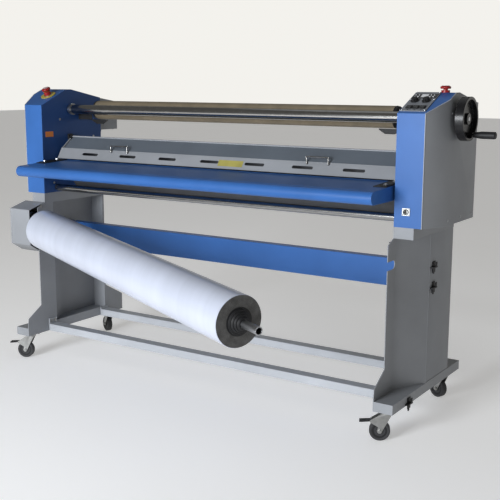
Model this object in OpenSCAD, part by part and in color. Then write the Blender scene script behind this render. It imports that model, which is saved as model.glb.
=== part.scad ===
// Cold roll laminator on two legs: nip rollers between two cabinets,
// with a swing-out supply shaft in front and locking casters below.

/* [Cabinets] */
// Clear distance between the two cabinets
clear_w = 1720; // [1400:10:2000]
// Width of each cabinet
cab_w = 150; // [130:5:200]
// Cabinet depth, front face to rear face
cab_d = 383; // [340:1:420]
// Height of the cabinet floor
cab_z = 756; // [720:1:780]
// Height where the front face meets the slope
slope_z = 1151; // [1110:1:1180]
// Height of the flat cabinet top
top_z = 1220; // [1200:1:1260]
// Depth of the sloped face
slope_run = 155; // [130:1:170]
// Depth at which the flat top ends
flat_end = 190; // [175:1:210]
// Height at the rear edge
rear_z = 1181; // [1160:1:1210]
// Width of the flat front face
front_w = 104; // [90:1:130]
// Depth of the corner chamfer
chamfer_d = 103; // [60:1:120]
// Cover sheet thickness
sheet_t = 2; // [1.5:0.5:3]
// Side plate thickness
plate_t = 6; // [5:1:10]

/* [Control box] */
// Box width
box_w = 132; // [100:1:140]
// Box depth behind the cabinet
box_d = 127; // [80:1:127]
// Height of the box floor
box_z = 1027; // [950:1:1080]
// Box height at its front edge
box_h = 153; // [100:1:154]
// Drop of the box lid to the rear
box_drop = 20; // [0:1:40]

/* [Legs] */
// Thickness of leg sheet
leg_t = 3; // [2:0.5:4]
// Width of the leg channel
leg_w = 76; // [60:1:90]
// Height of the underside of the foot beam
foot_z = 115; // [110:1:120]
// Height of the foot beam section
foot_h = 36; // [30:1:50]
// Front end of the foot beam
foot_y0 = -129; // [-160:1:-100]
// Rear end of the foot beam
foot_y1 = 508; // [450:1:510]
// Front edge of the leg flange
flange_y = -45; // [-60:1:-30]
// Front edge of the leg opening
open_y0 = 50; // [40:1:80]
// Rear edge of the leg opening
open_y1 = 380; // [340:1:380]
// Bottom edge of the leg opening
open_z0 = 155; // [152:1:180]
// Top edge of the leg opening
open_z1 = 712; // [690:1:714]
// Height of the cradle for the shaft end
cradle_z = 620; // [600:1:650]
// Radius of the cradle slot
cradle_r = 16; // [15.5:0.5:20]
// Depth of the cradle's round end behind the cabinet front
cradle_y = 0; // [-38:1:1]

/* [Beams] */
// Height of the front stretcher tube
tube_h = 32; // [25:1:36]
// Depth of the front stretcher tube
tube_d = 48; // [40:1:60]
// Wall of the stretcher tubes
tube_t = 3; // [2:0.5:4]
// Front face of the cross beam
beam_y = 208; // [150:1:260]
// Bottom of the cross beam
beam_z = 493; // [400:1:560]
// Height of the cross beam
beam_h = 107; // [80:1:140]
// Depth of the cross beam flanges
beam_d = 40; // [20:1:60]

/* [Nip rollers] */
// Radius of the lower roller
lower_r = 65; // [50:1:70]
// Radius of the upper roller
upper_r = 50; // [40:1:50]
// Depth position of both roller axes
nip_y = 215; // [205:1:225]
// Height of the lower roller axis
lower_z = 830; // [825:1:840]
// Gap between the rollers when closed
nip_gap = 0.5; // [0.4:0.1:3]
// Half length of the roller face
roller_half = 830; // [650:5:850]
// Journal radius
journal_r = 12.5; // [10:0.5:14]
// Running clearance, radial
run_c = 0.05; // [0.02:0.01:0.1]
// Lift of the upper roller
nip_travel = 20; // [10:1:20]

/* [Lift drive] */
// Radius of the bright cross shaft
lift_r = 21; // [15:1:25]
// Radius of the cross shaft journals
lift_jr = 10; // [8:0.5:12]
// Depth position of the cross shaft
lift_y = 178; // [170:1:185]
// Height of the cross shaft
lift_z = 1130; // [1125:1:1140]
// Lift rod radius
rod_r = 8; // [6:0.5:10]
// Handwheel radius
wheel_r = 77; // [60:1:90]
// Handwheel width
wheel_w = 30; // [20:1:36]
// Radius of the crank circle
crank_r = 62; // [45:1:66]
// Crank grip radius
grip_r = 13; // [10:0.5:16]
// Crank grip length
grip_l = 82; // [60:1:100]

/* [Core bar] */
// Outer radius of the core tube
core_r = 42; // [35:0.5:45]
// Inner radius of the core tube
core_ri = 38; // [30:0.5:40]
// Half length of the core tube
core_half = 747; // [600:1:800]
// Depth position of the core bar
core_y = 255; // [250:1:260]
// Height of the core bar
core_z = 1127; // [1120:1:1135]

/* [Guard] */
// Half length of the folded guard
guard_half = 850; // [700:1:850]
// Length by which the upper strip is shorter at each end
guard_step = 18; // [5:1:40]
// Guard sheet thickness
guard_t = 1.5; // [1:0.5:2]
// Number of slots in the guard
slot_n = 7; // [5:2:9]
// Slot spacing
slot_pitch = 219; // [150:0.5:240]
// Slot length
slot_l = 92; // [60:1:110]
// Slot height
slot_h = 13; // [8:1:16]
// Hinge axis depth
hinge_y = 170; // [165:1:175]
// Hinge axis height
hinge_z = 1006; // [1003:1:1010]
// Handle distance from the middle
handle_x = 495; // [300:1:600]
// Handle length
handle_l = 100; // [80:1:130]

/* [Feed table] */
// Half length of the feed table
table_half = 852; // [700:1:854]
// Depth of the nose centre
nose_y = -147; // [-170:1:-120]
// Height of the nose centre
nose_z = 870; // [865:1:875]
// Nose radius
nose_r = 23; // [18:0.5:25]
// Table pivot depth
table_y = 55; // [50:1:60]
// Table pivot height
table_z = 875; // [872:1:878]

/* [Supply shaft] */
// Pivot distance from the middle
pivot_x = 910; // [905:1:915]
// Pivot depth
pivot_y = -40; // [-42:1:-38]
// Lean of the pivot pin toward the front, degrees
pivot_lean = 8; // [0:0.5:10]
// Angle the shaft stands out at rest, degrees
swing_out = 22.1; // [10:0.1:40]
// Shaft radius
shaft_r = 14; // [12:0.5:16]
// Shaft tip distance from the pivot
shaft_l = 1800; // [1500:1:1810]
// Radius of the turned tip of the shaft
tip_r = 13.5; // [12:0.1:14]
// Length of the turned tip
tip_l = 78; // [40:1:78]
// Media roll outer radius
roll_r = 85; // [60:1:100]
// Media roll core radius
roll_ri = 38; // [30:1:40]
// Start of the media roll on the shaft
roll_x0 = 155; // [140:1:200]
// End of the media roll on the shaft
roll_x1 = 1693; // [1200:1:1693]

/* [Casters] */
// Wheel radius
cast_r = 37.5; // [30:0.5:38]
// Wheel width
cast_w = 24; // [18:1:26]
// Kingpin distance from the middle
cast_x = 896.5; // [890:0.5:900]
// Depth of the front kingpins
cast_y0 = -80; // [-95:1:-60]
// Depth of the rear kingpins
cast_y1 = 450; // [420:1:460]
// Trail of the wheel axle
trail = 27; // [20:1:32]
// Heading of the front casters, degrees
head_front = 205; // [0:1:360]
// Heading of the left rear caster, degrees
head_lr = 155; // [0:1:360]
// Heading of the right rear caster, degrees
head_rr = 160; // [0:1:360]

/* [Hidden] */
$fn = 48;
hx = clear_w / 2;                     // inner face of a cabinet
side_x = hx + cab_w;                  // outer face of a cabinet
slope_a = atan2(top_z - slope_z, slope_run);
rear_a = atan2(top_z - rear_z, cab_d - flat_end);
upper_z = lower_z + lower_r + upper_r + nip_gap;
wheel_x = side_x + 18;                // inner face of the handwheel
grip_x = wheel_x + wheel_w + 2;       // start of the crank grip
crank_dy = crank_r * sin(25);         // crank offset in depth
crank_dz = -crank_r * cos(25);        // crank offset in height
fork_z = 100;                         // underside of a fork crown
axle_r = 4;
king_r = 5;
pivot_pin_r = 10;
pivot = [-pivot_x, pivot_y, cradle_z];
out_k = sin(swing_out) * cos(pivot_lean);   // forward run of the shaft per length
y_min = pivot_y - roll_x1 * out_k - roll_r * sqrt(1 - out_k * out_k);
y_max = cab_d + box_d;
ox = -(grip_x + grip_l - side_x) / 2; // moves the middle of the box to x = 0
oy = -(y_min + y_max) / 2;            // moves the middle of the box to y = 0

// Colours
c_blue = [0.20, 0.38, 0.68];
c_dark_blue = [0.13, 0.22, 0.40];
c_grey = [0.66, 0.68, 0.72];
c_light = [0.84, 0.85, 0.88];
c_black = [0.10, 0.10, 0.11];
c_steel = [0.60, 0.60, 0.62];
c_chrome = [0.80, 0.80, 0.83];
c_tan = [0.58, 0.52, 0.43];
c_red = [0.70, 0.12, 0.10];
c_yellow = [0.90, 0.78, 0.20];
c_white = [0.90, 0.91, 0.95];

// Inner line of the blue cover, also the outline of the side plate
under = [
    [sheet_t, cab_z],
    [sheet_t, slope_z + sheet_t * tan(slope_a) - sheet_t / cos(slope_a)],
    [slope_run + sheet_t * tan(slope_a / 2), top_z - sheet_t],
    [flat_end - sheet_t * tan(rear_a / 2), top_z - sheet_t],
    [cab_d, rear_z - sheet_t / cos(rear_a)],
    [cab_d, cab_z]
];
over = [
    [0, cab_z], [0, slope_z], [slope_run, top_z],
    [flat_end, top_z], [cab_d, rear_z], [cab_d, cab_z]
];
plan = [
    [hx, 0], [hx + front_w, 0], [side_x, chamfer_d],
    [side_x, cab_d], [hx, cab_d]
];

module shift() { translate([ox, oy, 0]) children(); }

// Sweep a depth-height outline along x
module yz(x0, w) {
    translate([x0, 0, 0]) rotate([90, 0, 90]) linear_extrude(w) children();
}

// Cylinder along x
module xcyl(r, x0, x1, y, z) {
    translate([x0, y, z]) rotate([0, 90, 0]) cylinder(r = r, h = x1 - x0);
}

// Box from two corners
module box(a, b) { translate(a) cube(b - a); }

module both() {
    children();
    mirror([1, 0, 0]) children();
}

// Frame on the sloped face: u runs up the slope, v points out of it
module on_slope(x, u, v) {
    translate([x, 0, slope_z]) rotate([slope_a, 0, 0]) translate([0, u, v]) children();
}

// Frame of the tilted swing pivot
module at_pivot() { translate(pivot) rotate([pivot_lean, 0, 0]) children(); }

// Frame of the supply shaft: x runs along the shaft
module on_shaft() { at_pivot() rotate([0, 0, -swing_out]) children(); }

// Cylinder along the supply shaft
module scyl(r1, r2, x0, x1) {
    translate([x0, 0, 0]) rotate([0, 90, 0]) cylinder(r1 = r1, r2 = r2, h = x1 - x0);
}

// ---- legs and beams ----
foot_x = hx + leg_w;
col_x = foot_x - 1;
leg_top = cab_z - 41;
gusset_z = foot_z + 50;

leg_outline = [
    [foot_y0, foot_z], [foot_y0, gusset_z], [foot_y0 + 4, foot_z + 80],
    [flange_y, foot_z + 130], [flange_y, leg_top - 20], [0, leg_top],
    [0, cab_z], [cab_d, cab_z], [cab_d + 7, leg_top],
    [cab_d + 7, foot_z + 145], [foot_y1, foot_z + 80], [foot_y1, foot_z]
];

module leg_plate() {
    yz(hx, leg_t) difference() {
        polygon(leg_outline);
        polygon([
            [open_y0, open_z0], [open_y1, open_z0],
            [open_y1, open_z1], [open_y0, open_z1]
        ]);
    }
}

module leg_channel() {
    difference() {
        box([hx, foot_y0, foot_z], [foot_x, foot_y1, foot_z + foot_h]);
        box([hx + leg_t, foot_y0 + leg_t, foot_z + leg_t],
            [foot_x - leg_t, foot_y1 + 1, foot_z + foot_h - leg_t]);
    }
    difference() {
        box([hx, 0, leg_top], [foot_x, cab_d, cab_z]);
        box([hx + leg_t, leg_t, leg_top + leg_t],
            [foot_x - leg_t, cab_d + 1, cab_z - leg_t]);
    }
    box([col_x - leg_t, 160, foot_z + foot_h], [col_x, cab_d, leg_top]);
    box([hx, open_y1, foot_z + foot_h], [col_x, cab_d, leg_top]);
    translate([0, 0, foot_z + foot_h]) linear_extrude(leg_top - foot_z - foot_h) polygon([
        [hx + leg_t - 1, 18], [hx + leg_t - 1, 24],
        [col_x - leg_t, 163], [col_x, 163], [col_x, 157]
    ]);
}

module left_leg() {
    color(c_grey) shift() mirror([1, 0, 0]) {
        difference() {
            leg_plate();
            box([hx - 1, flange_y - 1, cradle_z - 45], [hx + 4, 10, cradle_z + 45]);
        }
        leg_channel();
    }
}

module right_leg() {
    color(c_grey) shift() {
        difference() {
            leg_plate();
            xcyl(cradle_r, hx - 1, hx + 4, cradle_y, cradle_z);
            box([hx - 1, flange_y - 1, cradle_z - cradle_r],
                [hx + 4, cradle_y, cradle_z + cradle_r]);
        }
        leg_channel();
    }
}

module tube(y0, d, z0, h) {
    difference() {
        box([-hx, y0, z0], [hx, y0 + d, z0 + h]);
        box([-hx - 1, y0 + tube_t, z0 + tube_t],
            [hx + 1, y0 + d - tube_t, z0 + h - tube_t]);
    }
}

module stretchers() {
    color(c_light) shift() {
        tube(-3, tube_d, foot_z, tube_h);
        tube(345, tube_d + 2, foot_z - 2, tube_h);
    }
}

module cross_beam() {
    bx = col_x - leg_t;
    color(c_blue) shift() difference() {
        box([-bx, beam_y, beam_z], [bx, beam_y + beam_d, beam_z + beam_h]);
        box([-bx - 1, beam_y + leg_t, beam_z + leg_t],
            [bx + 1, beam_y + beam_d + 1, beam_z + beam_h - leg_t]);
    }
}

// ---- cabinets ----
tongue_w = 40;                        // width of the carriage tongue slot
bore_c = 1.5;                         // open clearance round a passing shaft
idler_y = 80;                         // axis of the chrome idler below the table
idler_z = 778;
idler_jr = 8;
core_jr = 8;                          // journal of the core shaft
motor_y = 300;                        // axis of the drive motor
motor_z = 930;
motor_jr = 6;
pulley_r = 40;                        // belt pulley on the lower roller
motor_pulley_r = 20;
hinge_r = 4;                          // hinge rod of the guard
collar_r = 14;                        // collar under a stop button
stem_r = 8;
button_r = 5;
knob_stem_r = 4;
stop_x = 964;
stop_y = 172;
socket_x = 905.5;
socket_z = 812;
socket_r = 8;
cup_r = 10.5;
inlet_x = 940;
inlet_z = 800;
inlet_w = 44;
inlet_h = 26;
panel_t = 3;
button_u = 38;
knob_u = 92;
button_x = [889, 914, 938];
knob_x = [888, 930];
left_stop_x = -909;
left_stop_u = 102;

module side_plate() {
    difference() {
        yz(hx, plate_t) polygon(under);
        xcyl(journal_r + bore_c, hx - 1, hx + plate_t + 1, nip_y, lower_z);
        xcyl(lift_jr + bore_c, hx - 1, hx + plate_t + 1, lift_y, lift_z);
        xcyl(core_jr + run_c, hx - 1, hx + plate_t + 1, core_y, core_z);
        xcyl(idler_jr + run_c, hx - 1, hx + plate_t + 1, idler_y, idler_z);
        xcyl(6 + run_c, hx - 1, hx + plate_t + 1, table_y, table_z);
        box([hx - 1, nip_y - tongue_w / 2, upper_z - 22],
            [hx + plate_t + 1, nip_y + tongue_w / 2, upper_z + 22 + nip_travel]);
    }
}

module left_side_plate() { color(c_dark_blue) shift() mirror([1, 0, 0]) side_plate(); }

module right_side_plate() { color(c_dark_blue) shift() side_plate(); }

module front_cover() {
    intersection() {
        yz(hx, cab_w) difference() {
            polygon(over);
            polygon(concat(under, [[cab_d + 1, cab_z - 1], [sheet_t, cab_z - 1]]));
            polygon([
                [cab_d - 0.001, cab_z - 1], [cab_d + 1, cab_z - 1],
                [cab_d + 1, under[4][1]], [cab_d - 0.001, under[4][1]]
            ]);
        }
        translate([0, 0, cab_z - 1]) linear_extrude(top_z - cab_z + 2) polygon(plan);
    }
}

module left_front_cover() { color(c_blue) shift() mirror([1, 0, 0]) front_cover(); }

module right_front_cover() {
    color(c_blue) shift() difference() {
        front_cover();
        for (x = button_x) on_slope(x, button_u, -8) cylinder(r = 6.5, h = 12);
        for (x = knob_x) on_slope(x, knob_u, -8) cylinder(r = 5.5, h = 12);
        translate([socket_x, -1, socket_z]) rotate([-90, 0, 0]) cylinder(r = cup_r, h = 6);
    }
}

ch_k = (side_x - hx - front_w) / chamfer_d;   // run of the chamfer per depth
ch_s = sheet_t * sqrt(1 + ch_k * ch_k);       // chamfer sheet measured along x

module outer_cover() {
    intersection() {
        yz(hx + plate_t, cab_w) polygon(under);
        union() {
            translate([0, 0, cab_z]) linear_extrude(top_z - cab_z) polygon([
                [hx + front_w + ch_k * sheet_t, sheet_t],
                [side_x, chamfer_d], [side_x, cab_d],
                [hx + plate_t, cab_d], [hx + plate_t, cab_d - sheet_t],
                [side_x - sheet_t, cab_d - sheet_t],
                [side_x - sheet_t, chamfer_d + (ch_s - sheet_t) / ch_k],
                [hx + front_w + ch_k * sheet_t - ch_s, sheet_t]
            ]);
            translate([0, 0, cab_z]) linear_extrude(sheet_t) polygon([
                [hx + plate_t, sheet_t], [hx + front_w + ch_k * sheet_t, sheet_t],
                [side_x, chamfer_d], [side_x, cab_d], [hx + plate_t, cab_d]
            ]);
        }
    }
}

module left_outer_cover() { color(c_grey) shift() mirror([1, 0, 0]) outer_cover(); }

module right_outer_cover() {
    color(c_grey) shift() difference() {
        outer_cover();
        xcyl(lift_jr + bore_c, side_x - 5, side_x + 1, lift_y, lift_z);
        box([inlet_x - inlet_w / 2, cab_d - 5, inlet_z - inlet_h / 2],
            [inlet_x + inlet_w / 2, cab_d + 1, inlet_z + inlet_h / 2]);
    }
}

module control_box() {
    x0 = -hx - plate_t - 2 - box_w;
    color(c_grey) shift() difference() {
        yz(x0, box_w) polygon([
            [cab_d, box_z], [cab_d, box_z + box_h],
            [cab_d + box_d, box_z + box_h - box_drop], [cab_d + box_d, box_z]
        ]);
        yz(x0 + sheet_t, box_w - 2 * sheet_t) polygon([
            [cab_d - 1, box_z + sheet_t], [cab_d - 1, box_z + box_h - sheet_t],
            [cab_d + box_d - sheet_t, box_z + box_h - box_drop - sheet_t],
            [cab_d + box_d - sheet_t, box_z + sheet_t]
        ]);
    }
}

module control_panel() {
    color(c_grey) shift() difference() {
        on_slope(0, 0, 0) box([hx + 4, 15, 0], [hx + 97, 167, panel_t]);
        for (x = button_x) on_slope(x, button_u, -1) cylinder(r = button_r + run_c, h = panel_t + 2);
        for (x = knob_x) on_slope(x, knob_u, -1) cylinder(r = knob_stem_r + run_c, h = panel_t + 2);
    }
}

module push_button(i) {
    color(c_black) shift() on_slope(button_x[i], button_u, 0) {
        translate([0, 0, -8]) cylinder(r = button_r, h = 13);
        box([-10, -11, panel_t + 1.8], [10, 11, panel_t + 5]);
    }
}

module button_left() { push_button(0); }

module button_middle() { push_button(1); }

module button_right() { push_button(2); }

module knob(i) {
    color(c_black) shift() on_slope(knob_x[i], knob_u, 0) {
        translate([0, 0, -10]) cylinder(r = knob_stem_r, h = 16);
        translate([0, 0, panel_t + 0.6]) cylinder(r = 15, h = 3);
        translate([0, 0, panel_t + 3.6]) cylinder(r1 = 11, r2 = 10, h = 10);
        box([-3, -14, panel_t + 3], [3, 14, panel_t + 13]);
    }
}

module speed_knob() { knob(0); }

module direction_knob() { knob(1); }

// Collar with a bore for the stem of a stop button
module stop_collar(h) {
    difference() {
        cylinder(r = collar_r, h = h);
        translate([0, 0, -1]) cylinder(r = stem_r + run_c, h = h + 2);
    }
}

module mushroom(z0, r) {
    translate([0, 0, z0 - 9]) cylinder(r = stem_r, h = 10);
    translate([0, 0, z0]) cylinder(r1 = r - 2, r2 = r, h = 3);
    translate([0, 0, z0 + 3]) cylinder(r = r, h = 4);
    translate([0, 0, z0 + 7]) cylinder(r1 = r, r2 = r - 6, h = 4);
}

module stop_bases() {
    color(c_yellow) shift() {
        translate([stop_x, stop_y, top_z]) stop_collar(8);
        on_slope(left_stop_x, left_stop_u, 0) {
            stop_collar(21);
            difference() {
                cylinder(r = 34, h = 3);
                translate([0, 0, -1]) cylinder(r = collar_r, h = 5);
            }
        }
    }
}

module right_stop_button() {
    color(c_red) shift() translate([stop_x, stop_y, top_z]) mushroom(13, 19);
}

module left_stop_button() {
    color(c_red) shift() on_slope(left_stop_x, left_stop_u, 0) mushroom(26, 20);
}

module foot_switch_socket() {
    color(c_black) shift() difference() {
        union() {
            box([socket_x - 14.5, -3, socket_z - 13], [socket_x + 14.5, 0, socket_z + 13]);
            translate([socket_x, 0, socket_z]) rotate([-90, 0, 0]) cylinder(r = cup_r, h = 14);
        }
        translate([socket_x, -4, socket_z]) rotate([-90, 0, 0]) cylinder(r = socket_r, h = 16);
    }
}

module power_inlet() {
    color(c_black) shift() {
        difference() {
            union() {
                box([inlet_x - inlet_w / 2, cab_d - 14, inlet_z - inlet_h / 2],
                    [inlet_x + inlet_w / 2, cab_d, inlet_z + inlet_h / 2]);
                box([inlet_x - 27, cab_d, inlet_z - 17], [inlet_x + 27, cab_d + 3, inlet_z + 17]);
            }
            box([inlet_x - 12, cab_d - 11, inlet_z - 8], [inlet_x + 12, cab_d + 4, inlet_z + 8]);
        }
        for (i = [-1:1]) box([inlet_x + i * 7 - 1, cab_d - 12, inlet_z - 2 - abs(i)],
                             [inlet_x + i * 7 + 1, cab_d - 2, inlet_z + 2 - abs(i)]);
    }
}

hook_l = 42;                          // length and height of a cord cleat
hook_d = 12;
hook_t = 3;

// Cleat with one prong down and one up, on a wall at x
module cord_hook(x, y, z) {
    box([x, y + 16, z], [x + hook_t, y + hook_l, z + hook_l]);
    box([x, y, z + 18], [x + hook_d, y + hook_l, z + 24]);
    box([x + hook_d - hook_t, y, z], [x + hook_d, y + 11, z + 24]);
    box([x + hook_d - hook_t, y + 26, z + 18], [x + hook_d, y + 38, z + 40]);
}

module cord_hooks() {
    color(c_black) shift() {
        cord_hook(col_x, 168, 568);
        cord_hook(col_x, 171, 491);
        cord_hook(foot_x, -20, 100);
    }
}

// ---- fixed machine parts ----
bear_x = hx + plate_t;

module core_rests() {
    color(c_black) shift() both() translate([0, 238, 0]) rotate([90, 0, 0]) linear_extrude(4) polygon([
        [681, 1080], [707, 1064], [746, 1064], [782, 1082],
        [hx, 1082], [hx, 1110], [778, 1110], [778, 1084], [681, 1084]
    ]);
}

module roller_bearings() {
    color(c_steel) shift() both() difference() {
        union() {
            box([bear_x, nip_y - 32, lower_z - 32], [bear_x + 8, nip_y + 32, lower_z + 32]);
            xcyl(24, bear_x, bear_x + 20, nip_y, lower_z);
        }
        xcyl(journal_r + run_c, bear_x - 1, bear_x + 21, nip_y, lower_z);
    }
}

gear_x1 = 920;
rod_x = 881;

module lift_gearboxes() {
    color(c_steel) shift() both() difference() {
        box([bear_x, lift_y - 28, lift_z - 32], [gear_x1, nip_y + 25, lift_z + 30]);
        xcyl(lift_jr + run_c, bear_x - 1, gear_x1 + 1, lift_y, lift_z);
        translate([rod_x, nip_y, lift_z - 33]) cylinder(r = rod_r + run_c, h = 43);
    }
}

module guard_brackets() {
    color(c_black) shift() both() difference() {
        box([hx - 8.5, hinge_y - 12, hinge_z - 12], [hx, hinge_y + 12, hinge_z + 12]);
        xcyl(hinge_r + run_c, hx - 9, hx + 1, hinge_y, hinge_z);
    }
}

house_w = 122;                        // width of the swing housing
house_x0 = -hx - leg_t - house_w;
house_back = 2.5;

module swing_housing() {
    color(c_grey) shift() difference() {
        yz(house_x0, house_w) polygon([
            [0, 716], [-95, 690], [-95, 530], [-35, 493], [0, 493]
        ]);
        yz(house_x0 + sheet_t, house_w) polygon([
            [-house_back, 713.2], [-95 + sheet_t, 688.5],
            [-95 + sheet_t, 531.2], [-34.3, 495], [-house_back, 495]
        ]);
    }
}

module swing_bracket() {
    color(c_black) shift() {
        box([-hx - leg_t - 112, -house_back - 8, 545], [-hx - leg_t, -house_back, 695]);
        intersection() {
            at_pivot() for (z = [-50, 40.3]) translate([0, 0, z]) {
                cylinder(r = 20, h = 9.7);
                box([-20, 0, 0], [20, 60, 9.7]);
            }
            box(pivot + [-30, -40, -80], pivot + [30, -pivot_y - house_back, 80]);
        }
        at_pivot() translate([0, 0, -50]) cylinder(r = pivot_pin_r, h = 104);
    }
}

module drive_motor() {
    color(c_black) shift() difference() {
        union() {
            xcyl(38, -1000, -932, motor_y, motor_z);
            box([-995, 320, 905], [-937, cab_d - sheet_t, 955]);
        }
        xcyl(motor_jr + run_c, -962, -931, motor_y, motor_z);
    }
}

module belt_line(d) {
    hull() {
        translate([nip_y, lower_z]) circle(r = pulley_r + d);
        translate([motor_y, motor_z]) circle(r = motor_pulley_r + d);
    }
}

module drive_belt() {
    color(c_black) shift() yz(-923, 16) difference() {
        belt_line(3);
        belt_line(0.4);
    }
}

module motor_pulley() {
    color(c_steel) shift() {
        xcyl(motor_pulley_r, -925, -905, motor_y, motor_z);
        xcyl(motor_jr, -960, -925, motor_y, motor_z);
    }
}

// ---- rollers ----
module lower_roller() {
    color(c_black) shift() {
        xcyl(lower_r, -roller_half, roller_half, nip_y, lower_z);
        xcyl(journal_r, -925, 890, nip_y, lower_z);
        xcyl(pulley_r, -925, -905, nip_y, lower_z);
    }
}

module upper_roller() {
    color(c_black) shift() {
        xcyl(upper_r, -roller_half, roller_half, nip_y, upper_z);
        xcyl(journal_r, -894, 894, nip_y, upper_z);
    }
}

module nip_carriages() {
    color(c_steel) shift() both() {
        difference() {
            union() {
                box([bear_x + 0.4, nip_y - 35, upper_z - 35.5], [896, nip_y + 35, upper_z + 35.5]);
                box([hx + 1, nip_y - 19.9, upper_z - 20], [bear_x + 1, nip_y + 19.9, upper_z + 20]);
            }
            xcyl(journal_r + run_c, hx - 1, 897, nip_y, upper_z);
        }
        translate([rod_x, nip_y, upper_z + 30]) cylinder(r = rod_r, h = 134.5);
    }
}

module lift_shaft() {
    color(c_chrome) shift() {
        xcyl(lift_r, -hx + 1, hx - 1, lift_y, lift_z);
        xcyl(lift_jr, -gear_x1 - 2, wheel_x + 22, lift_y, lift_z);
    }
}

module handwheel() {
    color(c_light) shift() {
        difference() {
            union() {
                xcyl(wheel_r, wheel_x, wheel_x + wheel_w, lift_y, lift_z);
                xcyl(20, wheel_x - 12, wheel_x, lift_y, lift_z);
            }
            difference() {
                union() {
                    xcyl(wheel_r - 10, wheel_x - 1, wheel_x + 8, lift_y, lift_z);
                    xcyl(wheel_r - 10, wheel_x + 14, wheel_x + wheel_w + 1, lift_y, lift_z);
                }
                xcyl(20, wheel_x - 12, wheel_x + wheel_w - 6, lift_y, lift_z);
                xcyl(9, wheel_x + 8, wheel_x + wheel_w, lift_y + crank_dy, lift_z + crank_dz);
            }
            xcyl(lift_jr, wheel_x - 13, wheel_x + 22, lift_y, lift_z);
        }
        xcyl(4, wheel_x + wheel_w - 2, grip_x + grip_l - 5, lift_y + crank_dy, lift_z + crank_dz);
    }
}

module crank_grip() {
    color(c_black) shift() difference() {
        union() {
            translate([grip_x, lift_y + crank_dy, lift_z + crank_dz])
                rotate([0, 90, 0]) cylinder(r1 = grip_r - 4, r2 = grip_r, h = 30);
            xcyl(grip_r, grip_x + 30, grip_x + grip_l - 3, lift_y + crank_dy, lift_z + crank_dz);
            translate([grip_x + grip_l - 3, lift_y + crank_dy, lift_z + crank_dz])
                rotate([0, 90, 0]) cylinder(r1 = grip_r, r2 = grip_r - 3, h = 3);
        }
        xcyl(4 + run_c, grip_x - 1, grip_x + grip_l - 4, lift_y + crank_dy, lift_z + crank_dz);
    }
}

module lower_idler() {
    color(c_chrome) shift() {
        xcyl(15.5, -table_half, table_half, idler_y, idler_z);
        xcyl(idler_jr, -hx - 4, hx + 4, idler_y, idler_z);
    }
}

module core_shaft() {
    color(c_black) shift() {
        xcyl(core_jr, -hx - 8, hx + 8, core_y, core_z);
        both() {
            xcyl(core_ri, core_half - 45, core_half, core_y, core_z);
            xcyl(core_r - 1, core_half, core_half + 8, core_y, core_z);
            translate([core_half + 8, core_y, core_z]) rotate([0, 90, 0])
                cylinder(r1 = core_r - 1, r2 = 24, h = 12);
        }
    }
}

module core_tube() {
    color(c_tan) shift() difference() {
        xcyl(core_r, -core_half, core_half, core_y, core_z);
        xcyl(core_ri, -core_half - 1, core_half + 1, core_y, core_z);
    }
}

// ---- guard ----
fold_y = 107;
fold_z = 956.5;
front_a = atan2(fold_y - 80, fold_z - 912.5);   // lean of the guard front, degrees
grab_y = 103.3;                       // foot of a handle on the guard front
grab_z = 912.5 + (grab_y - 80) / tan(front_a);

module guard() {
    color(c_grey) shift() {
        difference() {
            yz(-guard_half, 2 * guard_half) polygon([
                [80, 912.5], [fold_y, fold_z], [hinge_y, hinge_z],
                [hinge_y + 1, hinge_z - 1.2], [fold_y + 1, fold_z - 1.2], [80 + guard_t, 912.5]
            ]);
            for (i = [0:slot_n - 1]) translate([(i - (slot_n - 1) / 2) * slot_pitch - 5, 94, 935])
                rotate([-front_a, 0, 0]) {
                    box([-slot_l / 2 + slot_h / 2, -9, -slot_h / 2],
                        [slot_l / 2 - slot_h / 2, 9, slot_h / 2]);
                    for (s = [-1, 1]) translate([s * (slot_l - slot_h) / 2, -9, 0])
                        rotate([-90, 0, 0]) cylinder(r = slot_h / 2, h = 18);
                }
            for (x = [-guard_half - 1, guard_half - guard_step])
                box([x, fold_y + 2, fold_z - 5], [x + guard_step + 1, hinge_y + 5, hinge_z + 5]);
        }
        xcyl(hinge_r, -hx + 0.5, hx - 0.5, hinge_y, hinge_z);
    }
}

module guard_handles() {
    e = handle_l / 2 - 3;
    ky = grab_y - 6 * cos(front_a);
    kz = grab_z + 6 * sin(front_a);
    color(c_chrome) shift() for (s = [-1, 1]) translate([s * handle_x, 0, 0]) {
        for (x = [-e, e]) {
            translate([x, grab_y, grab_z]) rotate([90 - front_a, 0, 0]) cylinder(r = 2.6, h = 7);
            translate([x, ky, kz - 4]) cylinder(r = 3, h = 980 - kz);
            translate([x, ky, 976]) sphere(r = 3, $fn = 32);
        }
        translate([-e, ky, 976]) rotate([0, 90, 0]) cylinder(r = 3, h = 2 * e);
    }
}

// ---- feed table ----
module feed_table() {
    color(c_blue) shift() {
        difference() {
            yz(-table_half, 2 * table_half) union() {
                translate([nose_y, nose_z]) circle(r = nose_r);
                polygon([
                    [nose_y, nose_z + nose_r], [100, 905], [100, 882],
                    [13, nose_z - nose_r], [nose_y, nose_z - nose_r]
                ]);
            }
            yz(-table_half + 3, 2 * table_half - 6) union() {
                translate([nose_y, nose_z]) circle(r = nose_r - 2);
                polygon([
                    [nose_y, nose_z + nose_r - 2], [98, 902.9], [98, 883.3],
                    [12.6, nose_z - nose_r + 2], [nose_y, nose_z - nose_r + 2]
                ]);
                polygon([
                    [nose_y + 20, nose_z], [10, nose_z],
                    [10, nose_z - nose_r - 1], [nose_y + 20, nose_z - nose_r - 1]
                ]);
            }
        }
        both() xcyl(6, table_half - 1, hx + plate_t - 1, table_y, table_z);
    }
}

table_rise = atan2(12, 247);          // rise of the table top, degrees

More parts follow.
